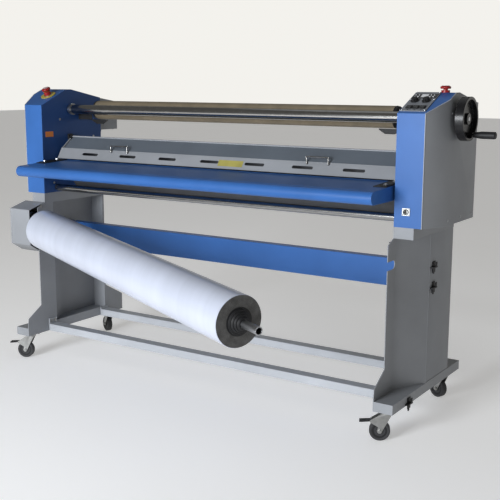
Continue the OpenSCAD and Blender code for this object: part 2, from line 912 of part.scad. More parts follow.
module table_brackets() {
    color(c_black) shift() both() translate([0, nose_y, nose_z + nose_r]) rotate([table_rise, 0, 0]) {
        box([table_half - 52, 97, 0], [table_half, 240, 3]);
        box([table_half - 34, 110, 3], [table_half - 4, 225, 5]);
    }
}

// ---- swing-out supply ----
module swing_arm() {
    color(c_black) shift() on_shaft() difference() {
        union() {
            translate([0, 0, -40]) cylinder(r = 22, h = 80);
            scyl(18, 18, 0, 60);
        }
        translate([0, 0, -41]) cylinder(r = pivot_pin_r + run_c, h = 82);
        scyl(shaft_r + run_c, shaft_r + run_c, 26, 61);
    }
}

module supply_shaft() {
    color(c_steel) shift() on_shaft() difference() {
        union() {
            scyl(shaft_r, shaft_r, 26.2, shaft_l - tip_l);
            scyl(tip_r, tip_r, shaft_l - tip_l - 1, shaft_l);
        }
        scyl(shaft_r - 3, shaft_r - 3, 100, shaft_l + 1);
    }
}

module supply_chucks() {
    color(c_black) shift() on_shaft() difference() {
        union() {
            scyl(24, 24, roll_x0 - 28, roll_x0 - 10);
            scyl(62, 62, roll_x0 - 10, roll_x0);
            scyl(roll_ri, roll_ri, roll_x0, roll_x0 + 30);
            scyl(roll_ri, roll_ri, roll_x1 - 30, roll_x1);
            scyl(42, 42, roll_x1, roll_x1 + 7);
            scyl(38, 18, roll_x1 + 7, roll_x1 + 29);
        }
        scyl(shaft_r, shaft_r, roll_x0 - 30, roll_x1 + 30);
    }
}

module media_roll() {
    color(c_white) shift() on_shaft() difference() {
        scyl(roll_r, roll_r, roll_x0, roll_x1);
        scyl(roll_ri, roll_ri, roll_x0 - 1, roll_x1 + 1);
    }
}

// ---- casters ----
module at_caster(x, y, a) { translate([x, y, 0]) rotate([0, 0, a]) children(); }

module caster_plates() {
    color(c_steel) shift() for (x = [-cast_x, cast_x], y = [cast_y0, cast_y1]) translate([x, y, 0]) {
        box([-30, -30, foot_z - 3], [30, 30, foot_z]);
        translate([0, 0, fork_z + 7]) cylinder(r = 20, h = foot_z - fork_z - 10);
        translate([0, 0, fork_z - 4]) cylinder(r = king_r, h = 12);
        translate([0, 0, fork_z - 5]) cylinder(r = 8, h = 4.7);
    }
}

ped_x = 56;                           // pedal pin along the fork
ped_z = 72;
fork_in = cast_w / 2 + 1;
fork_out = fork_in + 2.5;

// One cheek outline, with or without the ear for a pedal pin
module cheek(ear) {
    translate([trail, cast_r]) circle(r = 9);
    polygon([[trail - 9, cast_r], [trail + 9, cast_r], [20, fork_z + 3], [-16, fork_z + 3]]);
    if (ear) {
        translate([ped_x, ped_z]) circle(r = 6);
        polygon([[10, fork_z], [trail + 4, cast_r + 14], [ped_x + 1, ped_z - 6], [ped_x + 2, ped_z + 6],
                 [20, fork_z + 3]]);
    }
}

module fork(ear) {
    for (s = [-fork_out, fork_in]) translate([0, s + 2.5, 0]) rotate([90, 0, 0]) linear_extrude(2.5) cheek(ear);
    difference() {
        union() {
            translate([0, 0, fork_z]) cylinder(r = 18, h = 6.7);
            box([-16, -fork_out, fork_z], [20, fork_out, fork_z + 3]);
        }
        translate([0, 0, fork_z - 1]) cylinder(r = king_r + run_c, h = 9);
    }
    translate([trail, fork_out + 2, cast_r]) rotate([90, 0, 0]) cylinder(r = axle_r, h = 2 * fork_out + 4);
    if (ear) translate([ped_x, fork_out + 1, ped_z]) rotate([90, 0, 0]) cylinder(r = 3, h = 2 * fork_out + 2);
}

module caster_wheel() {
    translate([trail, cast_w / 2, cast_r]) rotate([90, 0, 0]) difference() {
        union() {
            translate([0, 0, 2]) cylinder(r = cast_r, h = cast_w - 4);
            cylinder(r = cast_r - 3, h = cast_w);
        }
        translate([0, 0, -1]) cylinder(r = axle_r + run_c, h = cast_w + 2);
        for (z = [-1, cast_w - 2]) translate([0, 0, z]) difference() {
            cylinder(r = cast_r - 10, h = 3);
            translate([0, 0, -1]) cylinder(r = 11, h = 5);
        }
    }
}

module pedal() {
    translate([ped_x, 12.5, ped_z]) rotate([90, 0, 0]) linear_extrude(25) difference() {
        union() {
            circle(r = 5.5);
            polygon([[4, -1], [38, -5], [44, -5], [44, 0], [4, 3.6]]);
        }
        circle(r = 3 + run_c);
    }
}

module left_front_fork() { color(c_steel) shift() at_caster(-cast_x, cast_y0, head_front) fork(true); }

module right_front_fork() { color(c_steel) shift() at_caster(cast_x, cast_y0, head_front) fork(true); }

module left_rear_fork() { color(c_steel) shift() at_caster(-cast_x, cast_y1, head_lr) fork(false); }

module right_rear_fork() { color(c_steel) shift() at_caster(cast_x, cast_y1, head_rr) fork(false); }

module left_front_wheel() { color(c_black) shift() at_caster(-cast_x, cast_y0, head_front) caster_wheel(); }

module right_front_wheel() { color(c_black) shift() at_caster(cast_x, cast_y0, head_front) caster_wheel(); }

module left_rear_wheel() { color(c_black) shift() at_caster(-cast_x, cast_y1, head_lr) caster_wheel(); }

module right_rear_wheel() { color(c_black) shift() at_caster(cast_x, cast_y1, head_rr) caster_wheel(); }

module left_brake_pedal() { color(c_black) shift() at_caster(-cast_x, cast_y0, head_front) pedal(); }

module right_brake_pedal() { color(c_black) shift() at_caster(cast_x, cast_y0, head_front) pedal(); }

// Sub-part to draw, or "all"

left_leg();
right_leg();
stretchers();
cross_beam();
left_side_plate();
right_side_plate();
left_front_cover();
right_front_cover();
left_outer_cover();
right_outer_cover();
control_box();
control_panel();
stop_bases();
foot_switch_socket();
power_inlet();
cord_hooks();
core_rests();
roller_bearings();
lift_gearboxes();
guard_brackets();
swing_housing();
swing_bracket();
caster_plates();
drive_motor();
drive_belt();
lower_roller();
motor_pulley();
upper_roller();
nip_carriages();
lift_shaft();
handwheel();
crank_grip();
lower_idler();
core_shaft();
core_tube();
guard();
guard_handles();
feed_table();
table_brackets();
swing_arm();
supply_shaft();
supply_chucks();
media_roll();
speed_knob();
direction_knob();
button_left();
button_middle();
button_right();
left_stop_button();
right_stop_button();
left_front_fork();
right_front_fork();
left_rear_fork();
right_rear_fork();
left_front_wheel();
right_front_wheel();
left_rear_wheel();
right_rear_wheel();
left_brake_pedal();
right_brake_pedal();
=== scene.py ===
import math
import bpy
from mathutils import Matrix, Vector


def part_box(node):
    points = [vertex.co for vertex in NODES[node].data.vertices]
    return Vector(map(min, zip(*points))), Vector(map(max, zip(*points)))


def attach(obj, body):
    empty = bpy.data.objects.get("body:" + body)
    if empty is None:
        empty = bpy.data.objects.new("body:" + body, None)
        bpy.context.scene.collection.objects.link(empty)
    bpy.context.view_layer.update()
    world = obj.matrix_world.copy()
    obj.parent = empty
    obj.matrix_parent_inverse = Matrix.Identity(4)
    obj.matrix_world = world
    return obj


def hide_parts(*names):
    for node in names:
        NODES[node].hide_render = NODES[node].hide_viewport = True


bl_info = {
    "name": "Cold Roll Laminator",
    "version": (1, 0, 0),
    "blender": (4, 2, 0),
    "location": "3D View > Sidebar > Laminator",
    "description": "Finishes a cold roll laminator round its packed frame",
    "category": "Add Mesh",
}

import bmesh
import bpy
from bpy.props import FloatProperty, FloatVectorProperty, PointerProperty
from mathutils import Matrix, Vector

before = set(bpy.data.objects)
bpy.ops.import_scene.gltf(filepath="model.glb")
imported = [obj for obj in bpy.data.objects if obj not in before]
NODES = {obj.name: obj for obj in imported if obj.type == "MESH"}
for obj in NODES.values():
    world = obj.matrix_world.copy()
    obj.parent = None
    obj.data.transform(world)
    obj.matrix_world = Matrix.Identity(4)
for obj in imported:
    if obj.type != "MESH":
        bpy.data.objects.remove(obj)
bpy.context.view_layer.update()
MM = 0.001

# ---------------------------------------------------------------- places
MID_X = (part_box("left_side_plate")[0][0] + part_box("right_side_plate")[1][0]) / 2
FRONT_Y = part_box("right_front_cover")[0][1]


def at(x, y, z):
    """A point in millimetres: x from the middle, y behind the cabinet fronts, z above the floor."""
    return Vector((MID_X + x * MM, FRONT_Y + y * MM, z * MM))


def frame_at(x, y, z, turn_x=0.0, turn_z=0.0):
    """A local frame in millimetres at a point of the machine."""
    return (
        Matrix.Translation(at(x, y, z))
        @ Matrix.Rotation(turn_x, 4, "X")
        @ Matrix.Rotation(turn_z, 4, "Z")
        @ Matrix.Scale(MM, 4)
    )


def corners(node):
    """Low and high corners of a CAD node's box, in the millimetres of at()."""
    start = (MID_X, FRONT_Y, 0.0)
    return [[round((c - s) / MM, 2) for c, s in zip(corner, start)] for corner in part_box(node)]


def axis_of(node):
    """The y and z of the line along which a roller or bar lies."""
    low, high = corners(node)
    return [round((low[i] + high[i]) / 2, 1) for i in (1, 2)]


PLATE_X = corners("right_side_plate")[0][0]
SIDE_X = corners("right_outer_cover")[1][0]
BACK_Y = corners("right_front_cover")[1][1]
BOX_LOW, BOX_HIGH = corners("control_box")
CORE = axis_of("core_tube")
IDLER = axis_of("lower_idler")
LIFT = axis_of("lift_shaft")
HINGE = axis_of("guard_brackets")

# Cabinets: the sloped front starts at SLOPE_Z and rises 69 in a run of 155
SLOPE_Z = 1151
SLOPE_ANGLE = math.atan2(69.0, 155.0)
SEAM_LINE = (
    (964, 0, 757), (964, 0, SLOPE_Z), (SIDE_X, 103, 1196.9),
    (SIDE_X, 155, 1219.4), (SIDE_X, 190, 1219.4), (SIDE_X, 382, 1180.6),
)
SIDE_SCREWS = ((125, 775), (125, 1150), (362, 775), (362, 1150), (245, 775))
PLATE_SCREWS = ((63, 800), (112, 1086), (355, 790), (355, 1140), (330, 1000))
BACK_SCREWS = {
    "left": ((885, 772), (885, 1000)),
    "right": ((885, 772), (995, 772), (885, 1165), (995, 1000)),
}
SOCKET_Y = corners("foot_switch_socket")[0][1]
SOCKET_X, SOCKET_Z = 905.5, 812

# On the slope: x across, u up it and v out of it
PANEL_V = 3
STRIP_V = 3.6
LAMP_X = (873, 886, 930, 942)
BUTTON_U = 38
BUTTONS = {"button_left": 889, "button_middle": 914, "button_right": 938}
KNOB_U = 92
KNOBS = {"speed_knob": 888, "direction_knob": 930}
LEFT_STOP = (-909, 102)

# Guard, table and supply roll
GUARD_FRONT_Y, GUARD_FRONT_Z = 80, 912.5
GUARD_FOLD_Y, GUARD_FOLD_Z = 107, 956.5
TABLE_RISE = math.atan2(12.0, 247.0)
TABLE_HALF = 795
PIVOT = (-910, -40, 620)
PIVOT_LEAN = math.radians(8)
ARM_SWING = math.radians(-22.1)
FILM_START, FILM_END = 155, 1693
FILM_R = 84.2
SHAFT_R = 14.02

# Stand
CASTER_X = 896.5
CASTER_Y = {"f": -80, "r": 450}
CASTER_HEADING = {"lf": 205, "rf": 205, "lr": 155, "rr": 160}
WHEEL_TRAIL, WHEEL_Z = 27, 37.5
COLUMN_X = 935

MACHINE = frame_at(0, 0, 0)
SLOPE = frame_at(0, 0, SLOPE_Z, SLOPE_ANGLE)
GUARD_FRONT = frame_at(0, GUARD_FRONT_Y, GUARD_FRONT_Z, math.atan2(44, 27))
GUARD_TOP = frame_at(0, GUARD_FOLD_Y, GUARD_FOLD_Z, math.atan2(49.5, 63))
TABLE_TOP = frame_at(0, -147, 893, TABLE_RISE)
SHAFT = frame_at(*PIVOT, PIVOT_LEAN, ARM_SWING)
FLAT_TOP = frame_at(964, 172, 1220)


def king_pin(key):
    """The x and y of a caster, from its side and its end of the machine."""
    return (-CASTER_X if key[0] == "l" else CASTER_X), CASTER_Y[key[1]]


CASTERS = {
    key: frame_at(*king_pin(key), 0, 0, math.radians(heading))
    for key, heading in CASTER_HEADING.items()
}
AXIS = {
    "X": Matrix.Rotation(math.radians(90), 4, "Y"),
    "-X": Matrix.Rotation(math.radians(-90), 4, "Y"),
    "Y": Matrix.Rotation(math.radians(-90), 4, "X"),
    "-Y": Matrix.Rotation(math.radians(90), 4, "X"),
    "Z": Matrix.Identity(4),
    "-Z": Matrix.Rotation(math.radians(180), 4, "X"),
}
OUTWARD = ((-1, "-X"), (1, "X"))
INWARD = ((-1, "X"), (1, "-X"))


# ---------------------------------------------------------------- shapes
def disc(bm, where, centre, axis, radius, height, top=None, sides=40):
    """A cylinder or cone that stands on centre and runs along axis."""
    made = bmesh.ops.create_cone(
        bm, cap_ends=True, cap_tris=False, segments=sides, radius1=radius,
        radius2=radius if top is None else top, depth=height,
    )["verts"]
    place = where @ Matrix.Translation(centre) @ AXIS[axis] @ Matrix.Translation((0, 0, height / 2))
    bmesh.ops.transform(bm, matrix=place, verts=made)
    return made


def block(bm, where, low, high):
    """A box between two corners."""
    made = bmesh.ops.create_cube(bm, size=1.0)["verts"]
    low, high = Vector(low), Vector(high)
    size = Matrix.Diagonal((*(high - low), 1.0))
    bmesh.ops.transform(bm, matrix=where @ Matrix.Translation((low + high) / 2) @ size, verts=made)
    return made


def collar(bm, where, centre, axis, inner, outer, height, sides=56, crown=0.0):
    """A flat ring round axis, turned from its section; crown rounds its outer face."""
    section = [
        (inner, 0), (outer, 0), (outer, height - crown), (outer - crown, height), (inner, height),
    ]
    if crown == 0.0:
        section.pop(3)
    verts = [bm.verts.new((r, 0, z)) for r, z in section]
    edges = [bm.edges.new((verts[i], verts[(i + 1) % len(verts)])) for i in range(len(verts))]
    bmesh.ops.spin(
        bm, geom=verts + edges, cent=(0, 0, 0), axis=(0, 0, 1), angle=math.tau,
        steps=sides, use_merge=True, use_normal_flip=False, use_duplicate=False,
    )
    made = {v for v in verts if v.is_valid}
    stack = list(made)
    while stack:
        for edge in stack.pop().link_edges:
            for v in edge.verts:
                if v not in made:
                    made.add(v)
                    stack.append(v)
    made = list(made)
    bmesh.ops.transform(bm, matrix=where @ Matrix.Translation(centre) @ AXIS[axis], verts=made)
    return made


def rod(bm, where, start, end, radius, sides=16):
    """A round bar from start to end."""
    start, end = Vector(start), Vector(end)
    run = end - start
    made = bmesh.ops.create_cone(
        bm, cap_ends=True, cap_tris=False, segments=sides, radius1=radius,
        radius2=radius, depth=run.length,
    )["verts"]
    turn = run.to_track_quat("Z", "Y").to_matrix().to_4x4()
    bmesh.ops.transform(bm, matrix=where @ Matrix.Translation((start + end) / 2) @ turn, verts=made)
    return made


def ball(bm, where, centre, radius):
    """A small ball, such as the one at a bead's corner."""
    made = bmesh.ops.create_uvsphere(bm, u_segments=16, v_segments=8, radius=radius)["verts"]
    bmesh.ops.transform(bm, matrix=where @ Matrix.Translation(centre), verts=made)
    return made


def cap_screw(bm, where, centre, axis, radius=5.0, height=4.0):
    """A socket head screw on a washer."""
    disc(bm, where, centre, axis, radius * 1.55, height * 0.3, sides=28)
    head = bmesh.ops.create_cone(
        bm, cap_ends=True, cap_tris=False, segments=24, radius1=radius,
        radius2=radius * 0.94, depth=height,
    )["verts"]
    faces = {f for v in head for f in v.link_faces}
    top = max(faces, key=lambda f: f.calc_center_median().z)
    bmesh.ops.inset_individual(bm, faces=[top], thickness=radius * 0.45, depth=0.0)
    socket = bmesh.ops.extrude_face_region(bm, geom=[top])["geom"]
    floor_verts = [g for g in socket if isinstance(g, bmesh.types.BMVert)]
    bmesh.ops.translate(bm, vec=(0, 0, -height * 0.5), verts=floor_verts)
    if top.is_valid:
        bmesh.ops.delete(bm, geom=[top], context="FACES_ONLY")
    made = set(head) | set(floor_verts)
    for v in list(made):
        if v.is_valid:
            for edge in v.link_edges:
                made.update(edge.verts)
    made = [v for v in made if v.is_valid]
    rise = Matrix.Translation((0, 0, height * 0.75))
    place = where @ Matrix.Translation(centre) @ AXIS[axis] @ rise
    bmesh.ops.transform(bm, matrix=place, verts=made)


def hex_bolt(bm, where, centre, axis, radius=6.0, height=5.0):
    """A hexagon head on a washer."""
    disc(bm, where, centre, axis, radius * 1.45, height * 0.25, sides=28)
    disc(bm, where, centre, axis, radius, height, top=radius * 0.95, sides=6)


def finish(name, bm, body, material, round_edge=0.0, smooth_to=35.0):
    """Turns a bmesh into a finished piece that rides its body."""
    bmesh.ops.remove_doubles(bm, verts=bm.verts, dist=1e-6)
    bmesh.ops.recalc_face_normals(bm, faces=bm.faces)
    limit = math.radians(smooth_to)
    for face in bm.faces:
        face.smooth = True
    for edge in bm.edges:
        edge.smooth = edge.calc_face_angle(math.pi) < limit
    mesh = bpy.data.meshes.new(name)
    bm.to_mesh(mesh)
    bm.free()
    piece = bpy.data.objects.new(name, mesh)
    bpy.context.scene.collection.objects.link(piece)
    mesh.materials.append(material)
    if round_edge > 0.0:
        soften(piece, round_edge)
    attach(piece, body)
    return piece


def soften(piece, width, segments=2):
    """Rounds a piece's sharp edges."""
    bevel = piece.modifiers.new("Rounded edges", "BEVEL")
    bevel.width = width
    bevel.segments = segments
    bevel.limit_method = "ANGLE"
    bevel.angle_limit = math.radians(38)
    bevel.use_clamp_overlap = True
    bevel.harden_normals = False


def dress(node, body, material, width):
    """A rounded piece from a CAD node's own shape, shown in its place."""
    bm = bmesh.new()
    bm.from_mesh(NODES[node].data)
    bmesh.ops.remove_doubles(bm, verts=bm.verts, dist=2e-6)
    bmesh.ops.dissolve_limit(
        bm, angle_limit=math.radians(1.0), use_dissolve_boundaries=False,
        verts=bm.verts, edges=bm.edges,
    )
    piece = finish(node + "_finished", bm, body, material, width)
    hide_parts(node)
    return piece


# ---------------------------------------------------------------- materials
def shader(name):
    """A material of this name, with its tree and shader while it is still to be made."""
    material = bpy.data.materials.get(name)
    if material:
        return material, None, None
    material = bpy.data.materials.new(name)
    material.use_nodes = True
    tree = material.node_tree
    return material, tree, tree.nodes["Principled BSDF"]


def coordinates(tree, scale=(1, 1, 1), place=None):
    """Object coordinates, stretched, or seen from a local frame."""
    source = tree.nodes.new("ShaderNodeTexCoord")
    mapping = tree.nodes.new("ShaderNodeMapping")
    tree.links.new(source.outputs["Object"], mapping.inputs["Vector"])
    if place is not None:
        mapping.vector_type = "TEXTURE"
        mapping.inputs["Location"].default_value = place.to_translation()
        mapping.inputs["Rotation"].default_value = place.to_euler()
    else:
        mapping.inputs["Scale"].default_value = scale
    return mapping.outputs["Vector"]


def mottle(tree, vector, size, detail=3.0, rough=0.55):
    """Soft noise from 0 to 1."""
    noise = tree.nodes.new("ShaderNodeTexNoise")
    noise.inputs["Scale"].default_value = size
    noise.inputs["Detail"].default_value = detail
    noise.inputs["Roughness"].default_value = rough
    tree.links.new(vector, noise.inputs["Vector"])
    return noise.outputs["Fac"]


def between(tree, factor, low, high, start=0.3, stop=0.7):
    """A colour that runs from low to high as factor rises."""
    ramp = tree.nodes.new("ShaderNodeValToRGB")
    ramp.color_ramp.elements[0].position = start
    ramp.color_ramp.elements[1].position = stop
    ramp.color_ramp.elements[0].color = (*low, 1)
    ramp.color_ramp.elements[1].color = (*high, 1)
    tree.links.new(factor, ramp.inputs["Fac"])
    return ramp.outputs["Color"]


def relief(tree, bsdf, height, strength, depth):
    """Small bumps in the surface."""
    bump = tree.nodes.new("ShaderNodeBump")
    bump.inputs["Strength"].default_value = strength
    bump.inputs["Distance"].default_value = depth
    tree.links.new(height, bump.inputs["Height"])
    tree.links.new(bump.outputs["Normal"], bsdf.inputs["Normal"])


def shade(colour, factor):
    """A lighter or darker colour, kept within 1."""
    return tuple(min(1.0, c * factor) for c in colour)


def paint(name, colour, rough=0.38, spread=0.10):
    """Powder coat with a fine texture and slight wear."""
    material, tree, bsdf = shader(name)
    if tree:
        broad = mottle(tree, coordinates(tree), 3.5, 4.0)
        tree.links.new(
            between(tree, broad, shade(colour, 1 - spread), shade(colour, 1 + spread)),
            bsdf.inputs["Base Color"],
        )
        bsdf.inputs["Roughness"].default_value = rough
        bsdf.inputs["Specular IOR Level"].default_value = 0.22
        relief(tree, bsdf, mottle(tree, coordinates(tree), 420.0, 2.0), 0.12, 0.0004)
    return material


def metal(name, colour, rough, stretch=(1, 1, 1), size=200.0, strength=0.08):
    """Turned or brushed metal with marks along one way."""
    material, tree, bsdf = shader(name)
    if tree:
        grain = mottle(tree, coordinates(tree, stretch), size, 4.0, 0.6)
        tree.links.new(
            between(tree, grain, shade(colour, 0.86), shade(colour, 1.08)),
            bsdf.inputs["Base Color"],
        )
        bsdf.inputs["Metallic"].default_value = 1.0
        bsdf.inputs["Roughness"].default_value = rough
        relief(tree, bsdf, grain, strength, 0.0002)
    return material


def plastic(name, colour, rough=0.5, grain=600.0, strength=0.15):
    """Moulded plastic or rubber with a fine pebble."""
    material, tree, bsdf = shader(name)
    if tree:
        vector = coordinates(tree)
        tree.links.new(
            between(tree, mottle(tree, vector, 14.0), shade(colour, 0.85), shade(colour, 1.15)),
            bsdf.inputs["Base Color"],
        )
        pebble = tree.nodes.new("ShaderNodeTexVoronoi")
        pebble.inputs["Scale"].default_value = grain
        tree.links.new(vector, pebble.inputs["Vector"])
        relief(tree, bsdf, pebble.outputs["Distance"], strength, 0.0002)
        bsdf.inputs["Roughness"].default_value = rough
        bsdf.inputs["Specular IOR Level"].default_value = 0.3
    return material


def wound(name, dark, light, pitch=2600.0):
    """Rings round the supply shaft, as the edge of wound film shows."""
    material, tree, bsdf = shader(name)
    if tree:
        turn = SHAFT.to_euler().to_matrix().to_4x4()
        vector = coordinates(tree, place=Matrix.Translation(SHAFT.to_translation()) @ turn)
        flat = tree.nodes.new("ShaderNodeVectorMath")
        flat.operation = "MULTIPLY"
        flat.inputs[1].default_value = (0, 1, 1)
        tree.links.new(vector, flat.inputs[0])
        length = tree.nodes.new("ShaderNodeVectorMath")
        length.operation = "LENGTH"
        tree.links.new(flat.outputs[0], length.inputs[0])
        turns = tree.nodes.new("ShaderNodeMath")
        turns.operation = "MULTIPLY"
        turns.inputs[1].default_value = pitch
        tree.links.new(length.outputs["Value"], turns.inputs[0])
        wave = tree.nodes.new("ShaderNodeMath")
        wave.operation = "SINE"
        tree.links.new(turns.outputs[0], wave.inputs[0])
        mixed = tree.nodes.new("ShaderNodeMath")
        mixed.operation = "MULTIPLY_ADD"
        mixed.inputs[1].default_value = 0.25
        tree.links.new(wave.outputs[0], mixed.inputs[0])
        tree.links.new(mottle(tree, vector, 45.0, 5.0), mixed.inputs[2])
        tree.links.new(between(tree, mixed.outputs[0], dark, light), bsdf.inputs["Base Color"])
        relief(tree, bsdf, wave.outputs[0], 0.25, 0.0003)
        bsdf.inputs["Roughness"].default_value = 0.55
    return material


def film(name, colour):
    """Smooth vinyl with soft bands round the roll."""
    material, tree, bsdf = shader(name)
    if tree:
        bands = mottle(tree, coordinates(tree, (9, 0.6, 0.6)), 1.6, 3.0)
        tree.links.new(
            between(tree, bands, shade(colour, 0.93), shade(colour, 1.04)),
            bsdf.inputs["Base Color"],
        )
        relief(tree, bsdf, mottle(tree, coordinates(tree, (1, 8, 8)), 30.0), 0.06, 0.0006)
        bsdf.inputs["Roughness"].default_value = 0.32
        bsdf.inputs["Coat Weight"].default_value = 0.15
    return material


def finishes():
    """Every finish of the machine by its own name."""
    s = bpy.context.scene.laminator_finish
    return {
        "blue": paint("Blue powder coat", tuple(s.blue)),
        "dark_blue": paint("Dark blue powder coat", tuple(s.inner_blue), 0.45),
        "grey": paint("Grey powder coat", tuple(s.grey), 0.42),
        "light": paint("Light grey powder coat", shade(tuple(s.grey), 1.5), 0.42),
        # Painted shade: a darker grey for the guard's upward slope, standing in for the shade on
        # that face
        "painted_shade_grey": paint("Painted shade grey", (0.105, 0.122, 0.145), 0.45),
        "panel": paint("Panel grey", (0.20, 0.21, 0.23), 0.4),
        "black": paint("Black powder coat", (0.014, 0.014, 0.015), 0.5, 0.2),
        "plastic": plastic("Black moulded plastic", (0.012, 0.012, 0.013)),
        "gloss_black": plastic("Glossy black plastic", (0.010, 0.010, 0.011), 0.25, 900.0, 0.03),
        "red": plastic("Red moulded plastic", (0.26, 0.014, 0.014), 0.32, 900.0, 0.04),
        "yellow": plastic("Yellow moulded plastic", (0.40, 0.32, 0.06), 0.45),
        "chrome": metal("Hard chrome", (0.40, 0.395, 0.385), 0.17, (0.2, 1, 1), 160.0, 0.02),
        "steel": metal("Brushed steel", (0.48, 0.49, 0.51), 0.32, (1, 6, 6)),
        "zinc": metal("Zinc plate", (0.36, 0.36, 0.35), 0.34, (1, 1, 1), 90.0),
        "rubber": plastic("Black rubber", (0.018, 0.018, 0.019), 0.7, 500.0, 0.2),
        "silicone": plastic("Roller covering", (0.055, 0.056, 0.06), 0.36, 900.0, 0.05),
        "tube": plastic("Tan core tube", tuple(s.tube), 0.5, 500.0, 0.08),
        "film": film("White vinyl film", tuple(s.film)),
        "edge": wound("Wound film edge", (0.022, 0.021, 0.02), (0.10, 0.098, 0.095)),
        "tread": plastic("Grey tread", (0.035, 0.035, 0.037), 0.6, 400.0, 0.2),
        "label": plastic("Yellow label film", (0.33, 0.29, 0.08), 0.4, 900.0, 0.03),
        "orange": plastic("Orange sticker film", (0.65, 0.20, 0.04), 0.4, 900.0, 0.03),
        "white": plastic("White lamp lens", (0.75, 0.76, 0.78), 0.25, 900.0, 0.02),
        "screen": plastic("Dark window", (0.012, 0.013, 0.016), 0.12, 900.0, 0.01),
    }


# CAD node: body, material slot, finish, rounding of its edges in millimetres.
# A rounding of 0 leaves the node itself shown.
LOOKS = {
    "left_leg": ("root", "grey_paint", "grey", 0.7),
    "right_leg": ("root", "grey_paint", "grey", 0.7),
    "stretchers": ("root", "light_grey_paint", "light", 1.5),
    "cross_beam": ("root", "blue_paint", "blue", 1.0),
    "left_side_plate": ("root", "dark_blue_paint", "dark_blue", 0.6),
    "right_side_plate": ("root", "dark_blue_paint", "dark_blue", 0.6),
    "left_front_cover": ("root", "blue_paint", "blue", 0.8),
    "right_front_cover": ("root", "blue_paint", "blue", 0.8),
    "left_outer_cover": ("root", "grey_paint", "grey", 0.8),
    "right_outer_cover": ("root", "grey_paint", "grey", 0.8),
    "control_box": ("root", "grey_paint", "grey", 0.9),
    "control_panel": ("root", "light_grey_paint", "panel", 0.3),
    "stop_bases": ("root", "yellow_plastic", "yellow", 0.8),
    "foot_switch_socket": ("root", "steel", "zinc", 0.6),
    "power_inlet": ("root", "black_plastic", "plastic", 0.6),
    "cord_hooks": ("root", "black_paint", "black", 0.8),
    "core_rests": ("root", "black_paint", "black", 0.8),
    "roller_bearings": ("root", "steel", "steel", 0.8),
    "lift_gearboxes": ("root", "steel", "steel", 1.5),
    "guard_brackets": ("root", "black_paint", "black", 1.0),
    "swing_housing": ("root", "grey_paint", "grey", 0.9),
    "swing_bracket": ("root", "black_paint", "black", 1.0),
    "caster_plates": ("root", "steel", "zinc", 0.8),
    "drive_motor": ("root", "black_paint", "black", 2.0),
    "drive_belt": ("root", "black_rubber", "rubber", 0.0),
    "lower_roller": ("lower_roller", "silicone_rubber", "silicone", 1.5),
    "motor_pulley": ("motor_pulley", "steel", "steel", 0.8),
    "upper_roller": ("upper_roller", "silicone_rubber", "silicone", 1.5),
    "nip_carriages": ("nip_carriage", "steel", "steel", 1.0),
    "lift_shaft": ("lift", "bright_chrome", "chrome", 0.6),
    "handwheel": ("lift", "black_plastic", "gloss_black", 3.0),
    "crank_grip": ("crank_grip", "black_plastic", "plastic", 2.5),
    "lower_idler": ("lower_idler", "bright_chrome", "chrome", 0.8),
    "core_shaft": ("core", "black_plastic", "plastic", 2.0),
    "core_tube": ("core", "tan_tube", "tube", 0.6),
    "guard": ("guard", "grey_paint", "grey", 0.3),
    "guard_handles": ("guard", "bright_chrome", "chrome", 0.0),
    "feed_table": ("table", "blue_paint", "blue", 0.8),
    "table_brackets": ("table", "black_paint", "black", 0.8),
    "swing_arm": ("swing_arm", "black_paint", "black", 1.2),
    "supply_shaft": ("supply", "steel", "steel", 0.8),
    "supply_chucks": ("supply", "black_plastic", "plastic", 1.0),
    "media_roll": ("supply", "vinyl_film", "film", 0.6),
    "speed_knob": ("speed_knob", "black_plastic", "plastic", 1.0),
    "direction_knob": ("direction_knob", "black_plastic", "plastic", 1.0),
    "button_left": ("button_left", "black_plastic", "plastic", 0.8),
    "button_middle": ("button_middle", "black_plastic", "plastic", 0.8),
    "button_right": ("button_right", "black_plastic", "plastic", 0.8),
    "left_stop_button": ("left_stop", "red_plastic", "red", 1.2),
    "right_stop_button": ("right_stop", "red_plastic", "red", 1.2),
    "left_front_fork": ("fork_lf", "steel", "zinc", 0.7),
    "right_front_fork": ("fork_rf", "steel", "zinc", 0.7),
    "left_rear_fork": ("fork_lr", "steel", "zinc", 0.7),
    "right_rear_fork": ("fork_rr", "steel", "zinc", 0.7),
    "left_front_wheel": ("wheel_lf", "wheel_tread", "tread", 1.0),
    "right_front_wheel": ("wheel_rf", "wheel_tread", "tread", 1.0),
    "left_rear_wheel": ("wheel_lr", "wheel_tread", "tread", 1.0),
    "right_rear_wheel": ("wheel_rr", "wheel_tread", "tread", 1.0),
    "left_brake_pedal": ("pedal_l", "black_plastic", "plastic", 1.0),
    "right_brake_pedal": ("pedal_r", "black_plastic", "plastic", 1.0),
}


class LaminatorFinish(bpy.types.PropertyGroup):
    blue: FloatVectorProperty(
        name="Blue paint", description="Colour of the blue covers, table and beam",
        default=(0.034, 0.118, 0.350), subtype="COLOR", min=0.0, max=1.0,
    )
    inner_blue: FloatVectorProperty(
        name="Inner paint", description="Colour of the side plates inside the cabinets",
        default=(0.018, 0.060, 0.195), subtype="COLOR", min=0.0, max=1.0,
    )
    grey: FloatVectorProperty(
        name="Grey paint", description="Colour of the legs, covers and guard",
        default=(0.262, 0.272, 0.29), subtype="COLOR", min=0.0, max=1.0,
    )
    tube: FloatVectorProperty(
        name="Core tube", description="Colour of the tan core tube",
        default=(0.19, 0.155, 0.105), subtype="COLOR", min=0.0, max=1.0,
    )
    film: FloatVectorProperty(
        name="Film", description="Colour of the media roll",
        default=(0.50, 0.53, 0.62), subtype="COLOR", min=0.0, max=1.0,
    )


